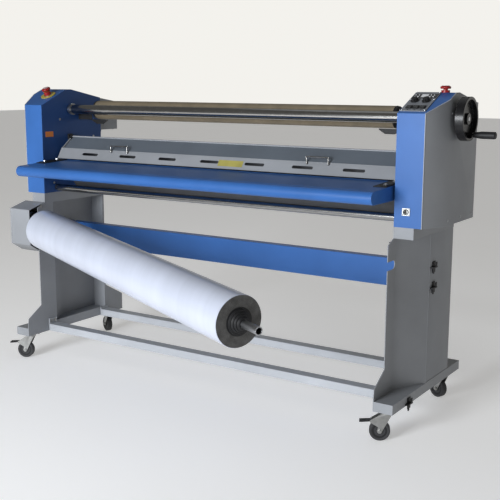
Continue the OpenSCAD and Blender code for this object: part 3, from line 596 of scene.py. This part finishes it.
class LaminatorSizes(bpy.types.PropertyGroup):
    seam: FloatProperty(
        name="Seam bead", description="Radius of the bead between blue and grey covers",
        default=0.0013, min=0.0005, max=0.003, unit="LENGTH",
    )
    film_step: FloatProperty(
        name="Film step", description="Thickness of the loose outer turn of film",
        default=0.0006, min=0.0002, max=0.002, unit="LENGTH",
    )


class LAMINATOR_OT_frame_finish(bpy.types.Operator):
    """Gives every part of the frame its finish and rounded edges"""

    bl_idname = "laminator.frame_finish"
    bl_label = "Frame Finish"

    def execute(self, context):
        finish_of = finishes()
        for node, (body, slot_name, look, width) in LOOKS.items():
            data = NODES[node].data
            data.materials.clear()
            data.materials.append(finish_of[look])
            if width > 0.0:
                dress(node, body, finish_of[look], width * MM)
        return {"FINISHED"}


def cover_seam(f, side, name, bead):
    """A bead where the front cover meets the outer cover."""
    seam = bmesh.new()
    line = [(side * x, y, z) for x, y, z in SEAM_LINE]
    for start, end in zip(line, line[1:]):
        rod(seam, MACHINE, start, end, bead, 10)
    for point in line:
        ball(seam, MACHINE, point, bead)
    finish(name + "_cover_seam", seam, "root", f["light"])


def cover_screws(f, side, name):
    """Screws in the outer face, the back and the inner plate of a cabinet."""
    outward, inward = ("X", "-X") if side > 0 else ("-X", "X")
    screws = bmesh.new()
    for y, z in SIDE_SCREWS:
        cap_screw(screws, MACHINE, (side * SIDE_X, y, z), outward, 3.2, 2.2)
    for x, z in BACK_SCREWS[name]:
        cap_screw(screws, MACHINE, (side * x, BACK_Y, z), "Y", 3.2, 2.2)
    for y, z in PLATE_SCREWS:
        cap_screw(screws, MACHINE, (side * PLATE_X, y, z), inward, 3.6, 2.4)
    finish(name + "_cover_screws", screws, "root", f["steel"])


def rear_louvres(f, side, name):
    """Six hooded slots in the back of a cabinet."""
    low, high = sorted((side * 895, side * 975))
    vents = bmesh.new()
    for row in range(6):
        z = 850 + row * 16
        block(vents, MACHINE, (low, BACK_Y, z), (high, BACK_Y + 3, z + 3))
        block(vents, MACHINE, (low, BACK_Y + 2, z - 4), (high, BACK_Y + 4, z + 3))
    finish(name + "_rear_louvres", vents, "root", f["grey"], 0.4 * MM)


def control_box_trim(f):
    """Screws of the control box and the gland below it."""
    x, y = (BOX_LOW[0] + BOX_HIGH[0]) / 2, 450
    trim = bmesh.new()
    for screw_x in (BOX_LOW[0] + 10, BOX_HIGH[0] - 10):
        cap_screw(trim, MACHINE, (screw_x, BOX_HIGH[1], BOX_LOW[2] + 10), "Y", 3.0, 2.0)
    for screw_x in (BOX_LOW[0] + 15, BOX_HIGH[0] - 15):
        for screw_y in (400, 495):
            cap_screw(trim, MACHINE, (screw_x, screw_y, BOX_LOW[2]), "-Z", 3.0, 2.0)
    disc(trim, MACHINE, (x, y, BOX_LOW[2] - 14), "Z", 11, 14, sides=6)
    collar(trim, MACHINE, (x, y, BOX_LOW[2] - 22), "Z", 5, 8, 9)
    finish("control_box_gland", trim, "root", f["plastic"])


def socket_ring(f):
    """The ring and four screws of the foot switch socket."""
    ring = bmesh.new()
    collar(ring, MACHINE, (SOCKET_X, SOCKET_Y, SOCKET_Z), "-Y", 8.4, 10.2, 2.2, crown=0.6)
    for x in (SOCKET_X - 11, SOCKET_X + 11):
        for z in (SOCKET_Z - 9.5, SOCKET_Z + 9.5):
            disc(ring, MACHINE, (x, SOCKET_Y, z), "-Y", 1.7, 1.0, top=1.3, sides=16)
    finish("socket_ring", ring, "root", f["plastic"])


class LAMINATOR_OT_cabinet_trim(bpy.types.Operator):
    """Adds seams, screws, vents and stickers to the cabinets"""

    bl_idname = "laminator.cabinet_trim"
    bl_label = "Cabinet Trim"

    def execute(self, context):
        f = finishes()
        bead = context.scene.laminator_sizes.seam / MM
        for side, name in ((-1, "left"), (1, "right")):
            cover_seam(f, side, name, bead)
            cover_screws(f, side, name)
            rear_louvres(f, side, name)
        sticker = bmesh.new()
        block(sticker, MACHINE, (-PLATE_X, 20, 1009), (-PLATE_X + 0.6, 68, 1033))
        finish("orange_sticker", sticker, "root", f["orange"], 0.1 * MM)
        control_box_trim(f)
        socket_ring(f)
        return {"FINISHED"}


def display(f):
    """The dark strip at the top of the panel and the lamps in it."""
    window = bmesh.new()
    block(window, SLOPE, (866, 116, PANEL_V), (955, 152, STRIP_V))
    finish("display_strip", window, "root", f["screen"], 0.2 * MM)
    lamps = bmesh.new()
    for u, radius, height, top in ((126, 3.2, 1.8, 2.4), (141, 2.4, 1.0, 2.0)):
        for x in LAMP_X:
            disc(lamps, SLOPE, (x, u, STRIP_V), "Z", radius, height, top=top, sides=24)
    block(lamps, SLOPE, (896, 122, STRIP_V), (921, 146, STRIP_V + 0.4))
    finish("panel_lamps", lamps, "root", f["white"], 0.2 * MM)


def panel_marks(f):
    """A dot below each button and a scale round each knob."""
    marks = bmesh.new()
    for x in BUTTONS.values():
        disc(marks, SLOPE, (x, BUTTON_U - 16, PANEL_V), "Z", 2.0, 0.8, sides=20)
    for x in KNOBS.values():
        for step in range(11):
            a = math.radians(-150 + step * 30)
            c, s = math.cos(a), math.sin(a)
            start = (x + 16.5 * s, KNOB_U + 16.5 * c, PANEL_V + 0.1)
            end = (x + 19.0 * s, KNOB_U + 19.0 * c, PANEL_V + 0.1)
            rod(marks, SLOPE, start, end, 0.45, 8)
    finish("panel_marks", marks, "root", f["plastic"])


def knob_trim(f, name, x):
    """Grip ribs round a knob and the pointer on it."""
    ribs = bmesh.new()
    for step in range(24):
        a = math.tau * step / 24
        c, s = math.cos(a), math.sin(a)
        foot = (x + 10.8 * c, KNOB_U + 10.8 * s, 7.0)
        head = (x + 10.1 * c, KNOB_U + 10.1 * s, 15.8)
        rod(ribs, SLOPE, foot, head, 0.7, 8)
    finish(name + "_grip_ribs", ribs, name, f["plastic"])
    line = bmesh.new()
    block(line, SLOPE, (x - 0.8, KNOB_U + 2, 15.6), (x + 0.8, KNOB_U + 13.5, 16.5))
    finish(name + "_pointer", line, name, f["white"], 0.2 * MM)


def stop_trim(f):
    """Rings and sleeves round the stop buttons and the rings on their heads."""
    ring = bmesh.new()
    collar(ring, SLOPE, (*LEFT_STOP, PANEL_V), "Z", 15.6, 19, 2, crown=0.6)
    finish("left_stop_ring", ring, "root", f["steel"])
    for name, where, foot, height in (
        ("right_stop_sleeve", FLAT_TOP, (0, 0, 0), 8.3),
        ("left_stop_sleeve", SLOPE, (*LEFT_STOP, PANEL_V), 18.3),
    ):
        sleeve = bmesh.new()
        collar(sleeve, where, foot, "Z", 14.02, 15.4, height, crown=0.4)
        finish(name, sleeve, "root", f["red"])
    for body, where, head in (
        ("left_stop", SLOPE, (*LEFT_STOP, 37)),
        ("right_stop", FLAT_TOP, (0, 0, 24)),
    ):
        arrows = bmesh.new()
        collar(arrows, where, head, "Z", 7.5, 9.5, 0.5, sides=40)
        finish(body + "_arrows", arrows, body, f["white"])


class LAMINATOR_OT_controls(bpy.types.Operator):
    """Adds the display, lamps, knob marks and stop button rings"""

    bl_idname = "laminator.controls"
    bl_label = "Controls"

    def execute(self, context):
        f = finishes()
        display(f)
        panel_marks(f)
        for name, x in KNOBS.items():
            knob_trim(f, name, x)
        for name, x in BUTTONS.items():
            cap = bmesh.new()
            block(cap, SLOPE, (x - 7, BUTTON_U - 8, 7.9), (x + 7, BUTTON_U + 8, 8.6))
            finish(name + "_inlay", cap, name, f["screen"], 0.3 * MM)
        screws = bmesh.new()
        for x in (868, 953):
            for u in (19, 106, 163):
                disc(screws, SLOPE, (x, u, PANEL_V), "Z", 2.4, 1.2, top=1.8, sides=20)
        finish("panel_screws", screws, "root", f["steel"])
        stop_trim(f)
        return {"FINISHED"}


def roller_end_caps(f, body, outer):
    """A plate and a boss on each end of a roller."""
    y, z = axis_of(body)
    caps = bmesh.new()
    for side, axis in OUTWARD:
        collar(caps, MACHINE, (side * 830, y, z), axis, 13.2, outer, 3, crown=0.8)
        collar(caps, MACHINE, (side * 833, y, z), axis, 13.2, 20, 12, crown=1.0)
    finish(body + "_end_caps", caps, body, f["steel"])


def core_trim(f):
    """Collars and pins of the core chucks, and a band near each end of the tube."""
    y, z = CORE
    chucks = bmesh.new()
    for side, axis in OUTWARD:
        collar(chucks, MACHINE, (side * 766.6, y, z), axis, 8.2, 17, 14, crown=1.5)
        for step in range(4):
            a = math.tau * step / 4 + 0.5
            pin = (side * 757, y + 31 * math.cos(a), z + 31 * math.sin(a))
            disc(chucks, MACHINE, pin, axis, 3, 4.5, sides=18)
    finish("core_chuck_collars", chucks, "core", f["steel"])
    bands = bmesh.new()
    for side, axis in OUTWARD:
        collar(bands, MACHINE, (side * 744, y, z), axis, 42.02, 42.6, 3)
    finish("core_tube_bands", bands, "core", f["plastic"])


class LAMINATOR_OT_rollers(bpy.types.Operator):
    """Adds collars, bushes and chuck rings to the rollers and bars"""

    bl_idname = "laminator.rollers"
    bl_label = "Rollers"

    def execute(self, context):
        f = finishes()
        roller_end_caps(f, "lower_roller", 57)
        roller_end_caps(f, "upper_roller", 43)
        bushes = bmesh.new()
        for side, axis in INWARD:
            for bar, outer in ((CORE, 15), (IDLER, 13)):
                collar(bushes, MACHINE, (side * PLATE_X, *bar), axis, 8.6, outer, 5, crown=1.0)
        finish("side_plate_bushes", bushes, "root", f["plastic"])
        core_trim(f)
        y, z = LIFT
        shaft = bmesh.new()
        for side, axis in OUTWARD:
            collar(shaft, MACHINE, (side * 838, y, z), axis, 21.02, 26, 12, crown=1.2)
            cap_screw(shaft, MACHINE, (side * 844, y, z + 25.4), "Z", 2.2, 1.6)
        disc(shaft, MACHINE, (1049.6, y, z), "X", 8, 3.4, top=7, sides=32)
        finish("lift_shaft_collars", shaft, "lift", f["steel"])
        return {"FINISHED"}


def guard_faces(f):
    """The label, hems and dark upper skin of the guard; the skin's dark grey is painted shade on
    the upward slope.
    """
    label = bmesh.new()
    block(label, GUARD_FRONT, (41, 10.5, 0.02), (160, 37.5, 0.5))
    finish("guard_label", label, "guard", f["label"], 0.1 * MM)
    hem = bmesh.new()
    for y, z, radius in (
        (GUARD_FRONT_Y + 0.9, GUARD_FRONT_Z + 0.5, 1.6),
        (GUARD_FOLD_Y + 0.5, GUARD_FOLD_Z - 0.5, 1.2),
    ):
        rod(hem, MACHINE, (-849.5, y, z), (849.5, y, z), radius, 14)
    finish("guard_hems", hem, "guard", f["grey"])
    # A thin sheet over the upper slope whose dark grey is painted shade, the darkness of an upward
    # face under a low front light
    skin = bmesh.new()
    block(skin, GUARD_TOP, (-831.6, 1.0, 0.02), (831.6, 78.5, 0.45))
    finish("guard_upper_painted_shade", skin, "guard", f["painted_shade_grey"], 0.1 * MM)


class LAMINATOR_OT_guard_trim(bpy.types.Operator):
    """Adds the label, hems, flanges and handle washers to the guard"""

    bl_idname = "laminator.guard_trim"
    bl_label = "Guard Trim"

    def execute(self, context):
        f = finishes()
        guard_faces(f)
        flanges = bmesh.new()
        for side in (-1, 1):
            low, high = side * 848 - 2, side * 848 + 2
            block(flanges, GUARD_FRONT, (low, 2, -12), (high, 46, -1))
            block(flanges, GUARD_TOP, (low, 4, -12), (high, 70, -1.2))
        finish("guard_end_flanges", flanges, "guard", f["grey"], 0.4 * MM)
        washers = bmesh.new()
        for handle_x in (-495, 495):
            for foot_x in (handle_x - 47, handle_x + 47):
                disc(washers, GUARD_FRONT, (foot_x, 44.6, 0), "Z", 5.0, 1.4, top=4.4, sides=28)
        finish("guard_handle_washers", washers, "guard", f["chrome"])
        sleeves = bmesh.new()
        for side in (-1, 1):
            rod(sleeves, MACHINE, (side * 836, *HINGE), (side * 850.5, *HINGE), 7.0, 24)
        finish("guard_hinge_sleeves", sleeves, "guard", f["black"])
        return {"FINISHED"}


class LAMINATOR_OT_table_trim(bpy.types.Operator):
    """Adds bolts, fold lines and end caps to the feed table"""

    bl_idname = "laminator.table_trim"
    bl_label = "Table Trim"

    def execute(self, context):
        f = finishes()
        bolts = bmesh.new()
        for x in (-833, 833):
            for y in (130, 205):
                hex_bolt(bolts, TABLE_TOP, (x, y, 5), "Z", 6.0, 5.0)
        finish("table_bolts", bolts, "table", f["steel"], 0.3 * MM)
        lines = bmesh.new()
        for y in (12, 236):
            rod(lines, TABLE_TOP, (-TABLE_HALF, y, 0), (TABLE_HALF, y, 0), 0.7, 8)
        finish("table_fold_lines", lines, "table", f["blue"])
        ends = bmesh.new()
        for side, axis in OUTWARD:
            collar(ends, MACHINE, (side * 852, 55, 875), axis, 6.02, 11, 5, crown=1.0)
        finish("table_end_caps", ends, "table", f["black"])
        return {"FINISHED"}


def wound_film(f, step):
    """The wound edges, the core's end and the loose outer turn of the film."""
    edges = bmesh.new()
    collar(edges, SHAFT, (FILM_END, 0, 0), "X", 42.2, FILM_R, 0.7, sides=96)
    collar(edges, SHAFT, (FILM_START, 0, 0), "-X", 62.2, FILM_R, 0.7, sides=96)
    finish("film_edges", edges, "supply", f["edge"])
    core = bmesh.new()
    collar(core, SHAFT, (FILM_END + 0.7, 0, 0), "X", 42.2, 47.0, 0.8, sides=64, crown=0.2)
    finish("film_core", core, "supply", f["plastic"])
    turn = bmesh.new()
    arc = bmesh.ops.create_circle(turn, cap_ends=False, segments=120, radius=85.02)["verts"]
    gap = [v for v in arc if v.co.y > 1.0 and v.co.x > 0]
    bmesh.ops.delete(turn, geom=gap, context="VERTS")
    drawn = bmesh.ops.extrude_edge_only(turn, edges=turn.edges[:])["geom"]
    far_end = [g for g in drawn if isinstance(g, bmesh.types.BMVert)]
    bmesh.ops.translate(turn, vec=(0, 0, FILM_END - FILM_START - 4), verts=far_end)
    bmesh.ops.recalc_face_normals(turn, faces=turn.faces)
    bmesh.ops.solidify(turn, geom=turn.faces[:], thickness=-step)
    place = SHAFT @ Matrix.Translation((FILM_START + 2, 0, 0)) @ AXIS["X"]
    bmesh.ops.transform(turn, matrix=place, verts=turn.verts)
    finish("film_outer_turn", turn, "supply", f["film"])


def shaft_trim(f):
    """Stepped rings of the outer chuck and the collars of the shaft."""
    rings = bmesh.new()
    for x, radius in ((1700, 40), (1707, 33.5), (1714, 28), (1721, 21)):
        collar(rings, SHAFT, (x, 0, 0), "X", SHAFT_R, radius, 2.4, crown=0.9)
    for step in range(3):
        a = math.tau * step / 3
        cap_screw(rings, SHAFT, (1702.4, 36 * math.cos(a), 36 * math.sin(a)), "X", 2.2, 1.6)
    finish("chuck_rings", rings, "supply", f["plastic"])
    collars = bmesh.new()
    collar(collars, SHAFT, (62, 0, 0), "X", SHAFT_R, 22, 14, crown=1.2)
    collar(collars, SHAFT, (1797, 0, 0), "X", 13.52, 14.1, 3, crown=0.3)
    finish("supply_shaft_collars", collars, "supply", f["steel"])


class LAMINATOR_OT_supply_trim(bpy.types.Operator):
    """Adds the wound edges, loose turn, chuck rings and pivot bolts"""

    bl_idname = "laminator.supply_trim"
    bl_label = "Supply Trim"

    def execute(self, context):
        f = finishes()
        wound_film(f, context.scene.laminator_sizes.film_step / MM)
        shaft_trim(f)
        liner = bmesh.new()
        block(liner, MACHINE, (-974.6, -11.1, 546), (-863.4, -10.55, 694))
        finish("swing_housing_liner", liner, "root", f["grey"])
        nuts = bmesh.new()
        pivot = frame_at(*PIVOT, PIVOT_LEAN)
        disc(nuts, pivot, (0, 0, 50), "Z", 15, 3.5, top=13, sides=32)
        disc(nuts, pivot, (0, 0, 53), "Z", 9, 2.5, sides=6)
        for x in (-965, -872):
            for z in (PIVOT[2] - 60, PIVOT[2] + 60):
                hex_bolt(nuts, MACHINE, (x, -11.0, z), "-Y", 5, 4)
        finish("swing_bracket_bolts", nuts, "root", f["steel"], 0.3 * MM)
        return {"FINISHED"}


def wheel_hubs(f, key, place):
    """Hub and groove rings on both faces of a wheel."""
    hubs = bmesh.new()
    for side, axis in ((-1, "-Y"), (1, "Y")):
        hub = (WHEEL_TRAIL, side * 10.2, WHEEL_Z)
        groove = (WHEEL_TRAIL, side * 10.0, WHEEL_Z)
        collar(hubs, place, hub, axis, 4.6, 12.5, 1.6, crown=0.5)
        collar(hubs, place, groove, axis, 20.0, 27.2, 0.9, crown=0.3)
    finish("wheel_hub_" + key, hubs, "wheel_" + key, f["plastic"])


def axle_nuts(f, key, place):
    """Washers and nuts on a caster's axle, and the ring under its plate."""
    nuts = bmesh.new()
    for side, axis in ((-1, "-Y"), (1, "Y")):
        disc(nuts, place, (WHEEL_TRAIL, side * 15.5, WHEEL_Z), axis, 7.2, 1.2, sides=28)
        disc(nuts, place, (WHEEL_TRAIL, side * 16.7, WHEEL_Z), axis, 6.2, 4.0, sides=6)
    collar(nuts, place, (0, 0, 106.7), "Z", 12, 17, 0.25)
    finish("axle_nuts_" + key, nuts, "fork_" + key, f["zinc"], 0.2 * MM)


def pedal_ribs(f, key, body):
    """Five ribs across a brake pedal."""
    ribs = bmesh.new()
    for step in range(5):
        x, drop = 76 + step * 5, step * 0.4
        block(ribs, CASTERS[key], (x, -10, 73.2 - drop), (x + 2.4, 10, 75.0 - drop))
    finish("pedal_ribs_" + key, ribs, body, f["plastic"], 0.3 * MM)


class LAMINATOR_OT_wheel_trim(bpy.types.Operator):
    """Adds hubs, axle nuts, plate bolts and pedal ribs to the casters"""

    bl_idname = "laminator.wheel_trim"
    bl_label = "Wheel Trim"

    def execute(self, context):
        f = finishes()
        bolts = bmesh.new()
        for key, place in CASTERS.items():
            x, y = king_pin(key)
            for dx in (-23, 23):
                for dy in (-23, 23):
                    hex_bolt(bolts, MACHINE, (x + dx, y + dy, 112), "-Z", 4.2, 4)
            wheel_hubs(f, key, place)
            axle_nuts(f, key, place)
        finish("caster_bolts", bolts, "root", f["zinc"])
        pedal_ribs(f, "lf", "pedal_l")
        pedal_ribs(f, "rf", "pedal_r")
        return {"FINISHED"}


class LAMINATOR_OT_stand_trim(bpy.types.Operator):
    """Adds end plates, bolts and welds to the legs and stretchers"""

    bl_idname = "laminator.stand_trim"
    bl_label = "Stand Trim"

    def execute(self, context):
        f = finishes()
        plates = bmesh.new()
        bolts = bmesh.new()
        for side, axis in INWARD:
            low, high = sorted((side * PLATE_X, side * (PLATE_X - 4)))
            for y0, y1, z0, z1 in ((-3, 45, 147, 172), (345, 395, 145, 154)):
                block(plates, MACHINE, (low, y0, z0), (high, y1, z1))
            for y in (9, 33):
                hex_bolt(bolts, MACHINE, (side * (PLATE_X - 4), y, 160), axis, 5, 4)
            for y in (213, 238):
                hex_bolt(bolts, MACHINE, (side * 905, y, 600), "Z", 5, 4)
            for z in (650, 700):
                cap_screw(bolts, MACHINE, (side * PLATE_X, -25, z), axis, 4.0, 3.0)
        finish("stretcher_tabs", plates, "root", f["light"], 0.5 * MM)
        finish("stand_bolts", bolts, "root", f["zinc"])
        welds = bmesh.new()
        for x in (-COLUMN_X, COLUMN_X):
            rod(welds, MACHINE, (x, 160, 151.4), (x, 382, 151.4), 1.8, 10)
            rod(welds, MACHINE, (x, 160, 714.6), (x, 382, 714.6), 1.4, 10)
            rod(welds, MACHINE, (x, 160, 151), (x, 160, 715), 1.0, 10)
        finish("leg_welds", welds, "root", f["grey"])
        return {"FINISHED"}


SKY_DIM = 0.14
SKY_BAND = 0.76
LIGHT_COLOUR = (0.93, 0.965, 1.0)
# Name, place and target in millimetres, size in metres, power in watts
LIGHTS = (
    ("Key light", (-300, -5800, 1600), (0, 100, 700), 2.0, 400.0),
    ("Fill light", (3600, -3600, 2600), (200, 0, 700), 3.0, 3.0),
    ("Top light", (-400, 1500, 4200), (0, 200, 800), 3.0, 8.0),
)
CAMERA_PLACE = (2170.5, -2904.2, 1251.4)
CAMERA_LENS = 65.32
YAW, PITCH, ROLL = 0.582607, -0.182126, 0.00275


def backdrop(tree):
    """A dim sky with a bright band low behind the machine."""
    background = tree.nodes["Background"]
    background.inputs["Color"].default_value = (1.0, 0.985, 0.94, 1)
    axes = tree.nodes.new("ShaderNodeSeparateXYZ")
    tree.links.new(tree.nodes.new("ShaderNodeTexCoord").outputs["Generated"], axes.inputs[0])
    steps = []
    for axis, start, stop in (("Y", 0.25, 0.6), ("Z", 0.30, 0.14)):
        step = tree.nodes.new("ShaderNodeMapRange")
        step.interpolation_type = "SMOOTHSTEP"
        step.inputs["From Min"].default_value = start
        step.inputs["From Max"].default_value = stop
        tree.links.new(axes.outputs[axis], step.inputs["Value"])
        steps.append(step.outputs["Result"])
    both = tree.nodes.new("ShaderNodeMath")
    both.operation = "MULTIPLY"
    tree.links.new(steps[0], both.inputs[0])
    tree.links.new(steps[1], both.inputs[1])
    level = tree.nodes.new("ShaderNodeMath")
    level.operation = "MULTIPLY_ADD"
    level.inputs[1].default_value = SKY_BAND
    level.inputs[2].default_value = SKY_DIM
    tree.links.new(both.outputs[0], level.inputs[0])
    tree.links.new(level.outputs[0], background.inputs["Strength"])


def studio_floor(scene):
    """A wide pale floor that glows a little, so that it stays even."""
    grid = bmesh.new()
    bmesh.ops.create_grid(grid, x_segments=1, y_segments=1, size=30.0)
    mesh = bpy.data.meshes.new("Studio floor")
    grid.to_mesh(mesh)
    grid.free()
    floor = bpy.data.objects.new("Studio floor", mesh)
    scene.collection.objects.link(floor)
    material = bpy.data.materials.new("Pale floor")
    material.use_nodes = True
    bsdf = material.node_tree.nodes["Principled BSDF"]
    bsdf.inputs["Base Color"].default_value = (0.86, 0.86, 0.87, 1)
    bsdf.inputs["Roughness"].default_value = 0.8
    bsdf.inputs["Emission Color"].default_value = (1.0, 0.99, 0.97, 1)
    bsdf.inputs["Emission Strength"].default_value = 0.30
    mesh.materials.append(material)
    return floor


def soft_light(scene, name, place, target, size, power):
    """A square lamp that faces its target."""
    data = bpy.data.lights.new(name, "AREA")
    data.shape = "SQUARE"
    data.size = size
    data.energy = power
    data.color = LIGHT_COLOUR
    lamp = bpy.data.objects.new(name, data)
    lamp.location = at(*place)
    lamp.rotation_euler = (at(*target) - at(*place)).to_track_quat("-Z", "Y").to_euler()
    scene.collection.objects.link(lamp)
    return lamp


def studio_camera(scene):
    """The camera, turned by YAW and PITCH and then rolled by ROLL."""
    forward = Vector((
        -math.sin(YAW) * math.cos(PITCH), math.cos(YAW) * math.cos(PITCH), math.sin(PITCH)
    ))
    right = Vector((math.cos(YAW), math.sin(YAW), 0))
    up = right.cross(forward)
    right_rolled = right * math.cos(ROLL) + up * math.sin(ROLL)
    up_rolled = up * math.cos(ROLL) - right * math.sin(ROLL)
    turn = Matrix((right_rolled, up_rolled, -forward)).transposed()
    data = bpy.data.cameras.new("Camera")
    data.lens = CAMERA_LENS
    data.sensor_width = 36.0
    data.clip_end = 100.0
    camera = bpy.data.objects.new("Camera", data)
    camera.matrix_world = Matrix.Translation(at(*CAMERA_PLACE)) @ turn.to_4x4()
    scene.collection.objects.link(camera)
    scene.camera = camera


class LAMINATOR_OT_studio(bpy.types.Operator):
    """Sets the floor, the soft lights and the camera"""

    bl_idname = "laminator.studio"
    bl_label = "Studio"

    def execute(self, context):
        scene = context.scene
        floor = studio_floor(scene)
        world = bpy.data.worlds.new("Studio")
        world.use_nodes = True
        backdrop(world.node_tree)
        scene.world = world
        for light in LIGHTS:
            soft_light(scene, *light)
        studio_camera(scene)
        scene.view_settings.view_transform = "Standard"
        return {"FINISHED"}


PIECES = (
    LAMINATOR_OT_frame_finish,
    LAMINATOR_OT_cabinet_trim,
    LAMINATOR_OT_controls,
    LAMINATOR_OT_rollers,
    LAMINATOR_OT_guard_trim,
    LAMINATOR_OT_table_trim,
    LAMINATOR_OT_supply_trim,
    LAMINATOR_OT_wheel_trim,
    LAMINATOR_OT_stand_trim,
    LAMINATOR_OT_studio,
)


class LAMINATOR_PT_panel(bpy.types.Panel):
    """Lists the laminator's pieces and finishes"""

    bl_idname = "LAMINATOR_PT_panel"
    bl_label = "Laminator"
    bl_space_type = "VIEW_3D"
    bl_region_type = "UI"
    bl_category = "Laminator"

    def draw(self, context):
        column = self.layout.column()
        for name in ("blue", "inner_blue", "grey", "tube", "film"):
            column.prop(context.scene.laminator_finish, name)
        for name in ("seam", "film_step"):
            column.prop(context.scene.laminator_sizes, name)
        for piece in PIECES:
            column.operator(piece.bl_idname)


CLASSES = (LaminatorFinish, LaminatorSizes, *PIECES, LAMINATOR_PT_panel)


def register():
    for cls in CLASSES:
        bpy.utils.register_class(cls)
    bpy.types.Scene.laminator_finish = PointerProperty(type=LaminatorFinish)
    bpy.types.Scene.laminator_sizes = PointerProperty(type=LaminatorSizes)


def unregister():
    del bpy.types.Scene.laminator_sizes
    del bpy.types.Scene.laminator_finish
    for cls in reversed(CLASSES):
        bpy.utils.unregister_class(cls)


def main():
    register()
    for piece in PIECES:
        group, name = piece.bl_idname.split(".")
        getattr(getattr(bpy.ops, group), name)()
    bpy.context.view_layer.update()


if __name__ == "__main__":
    main()
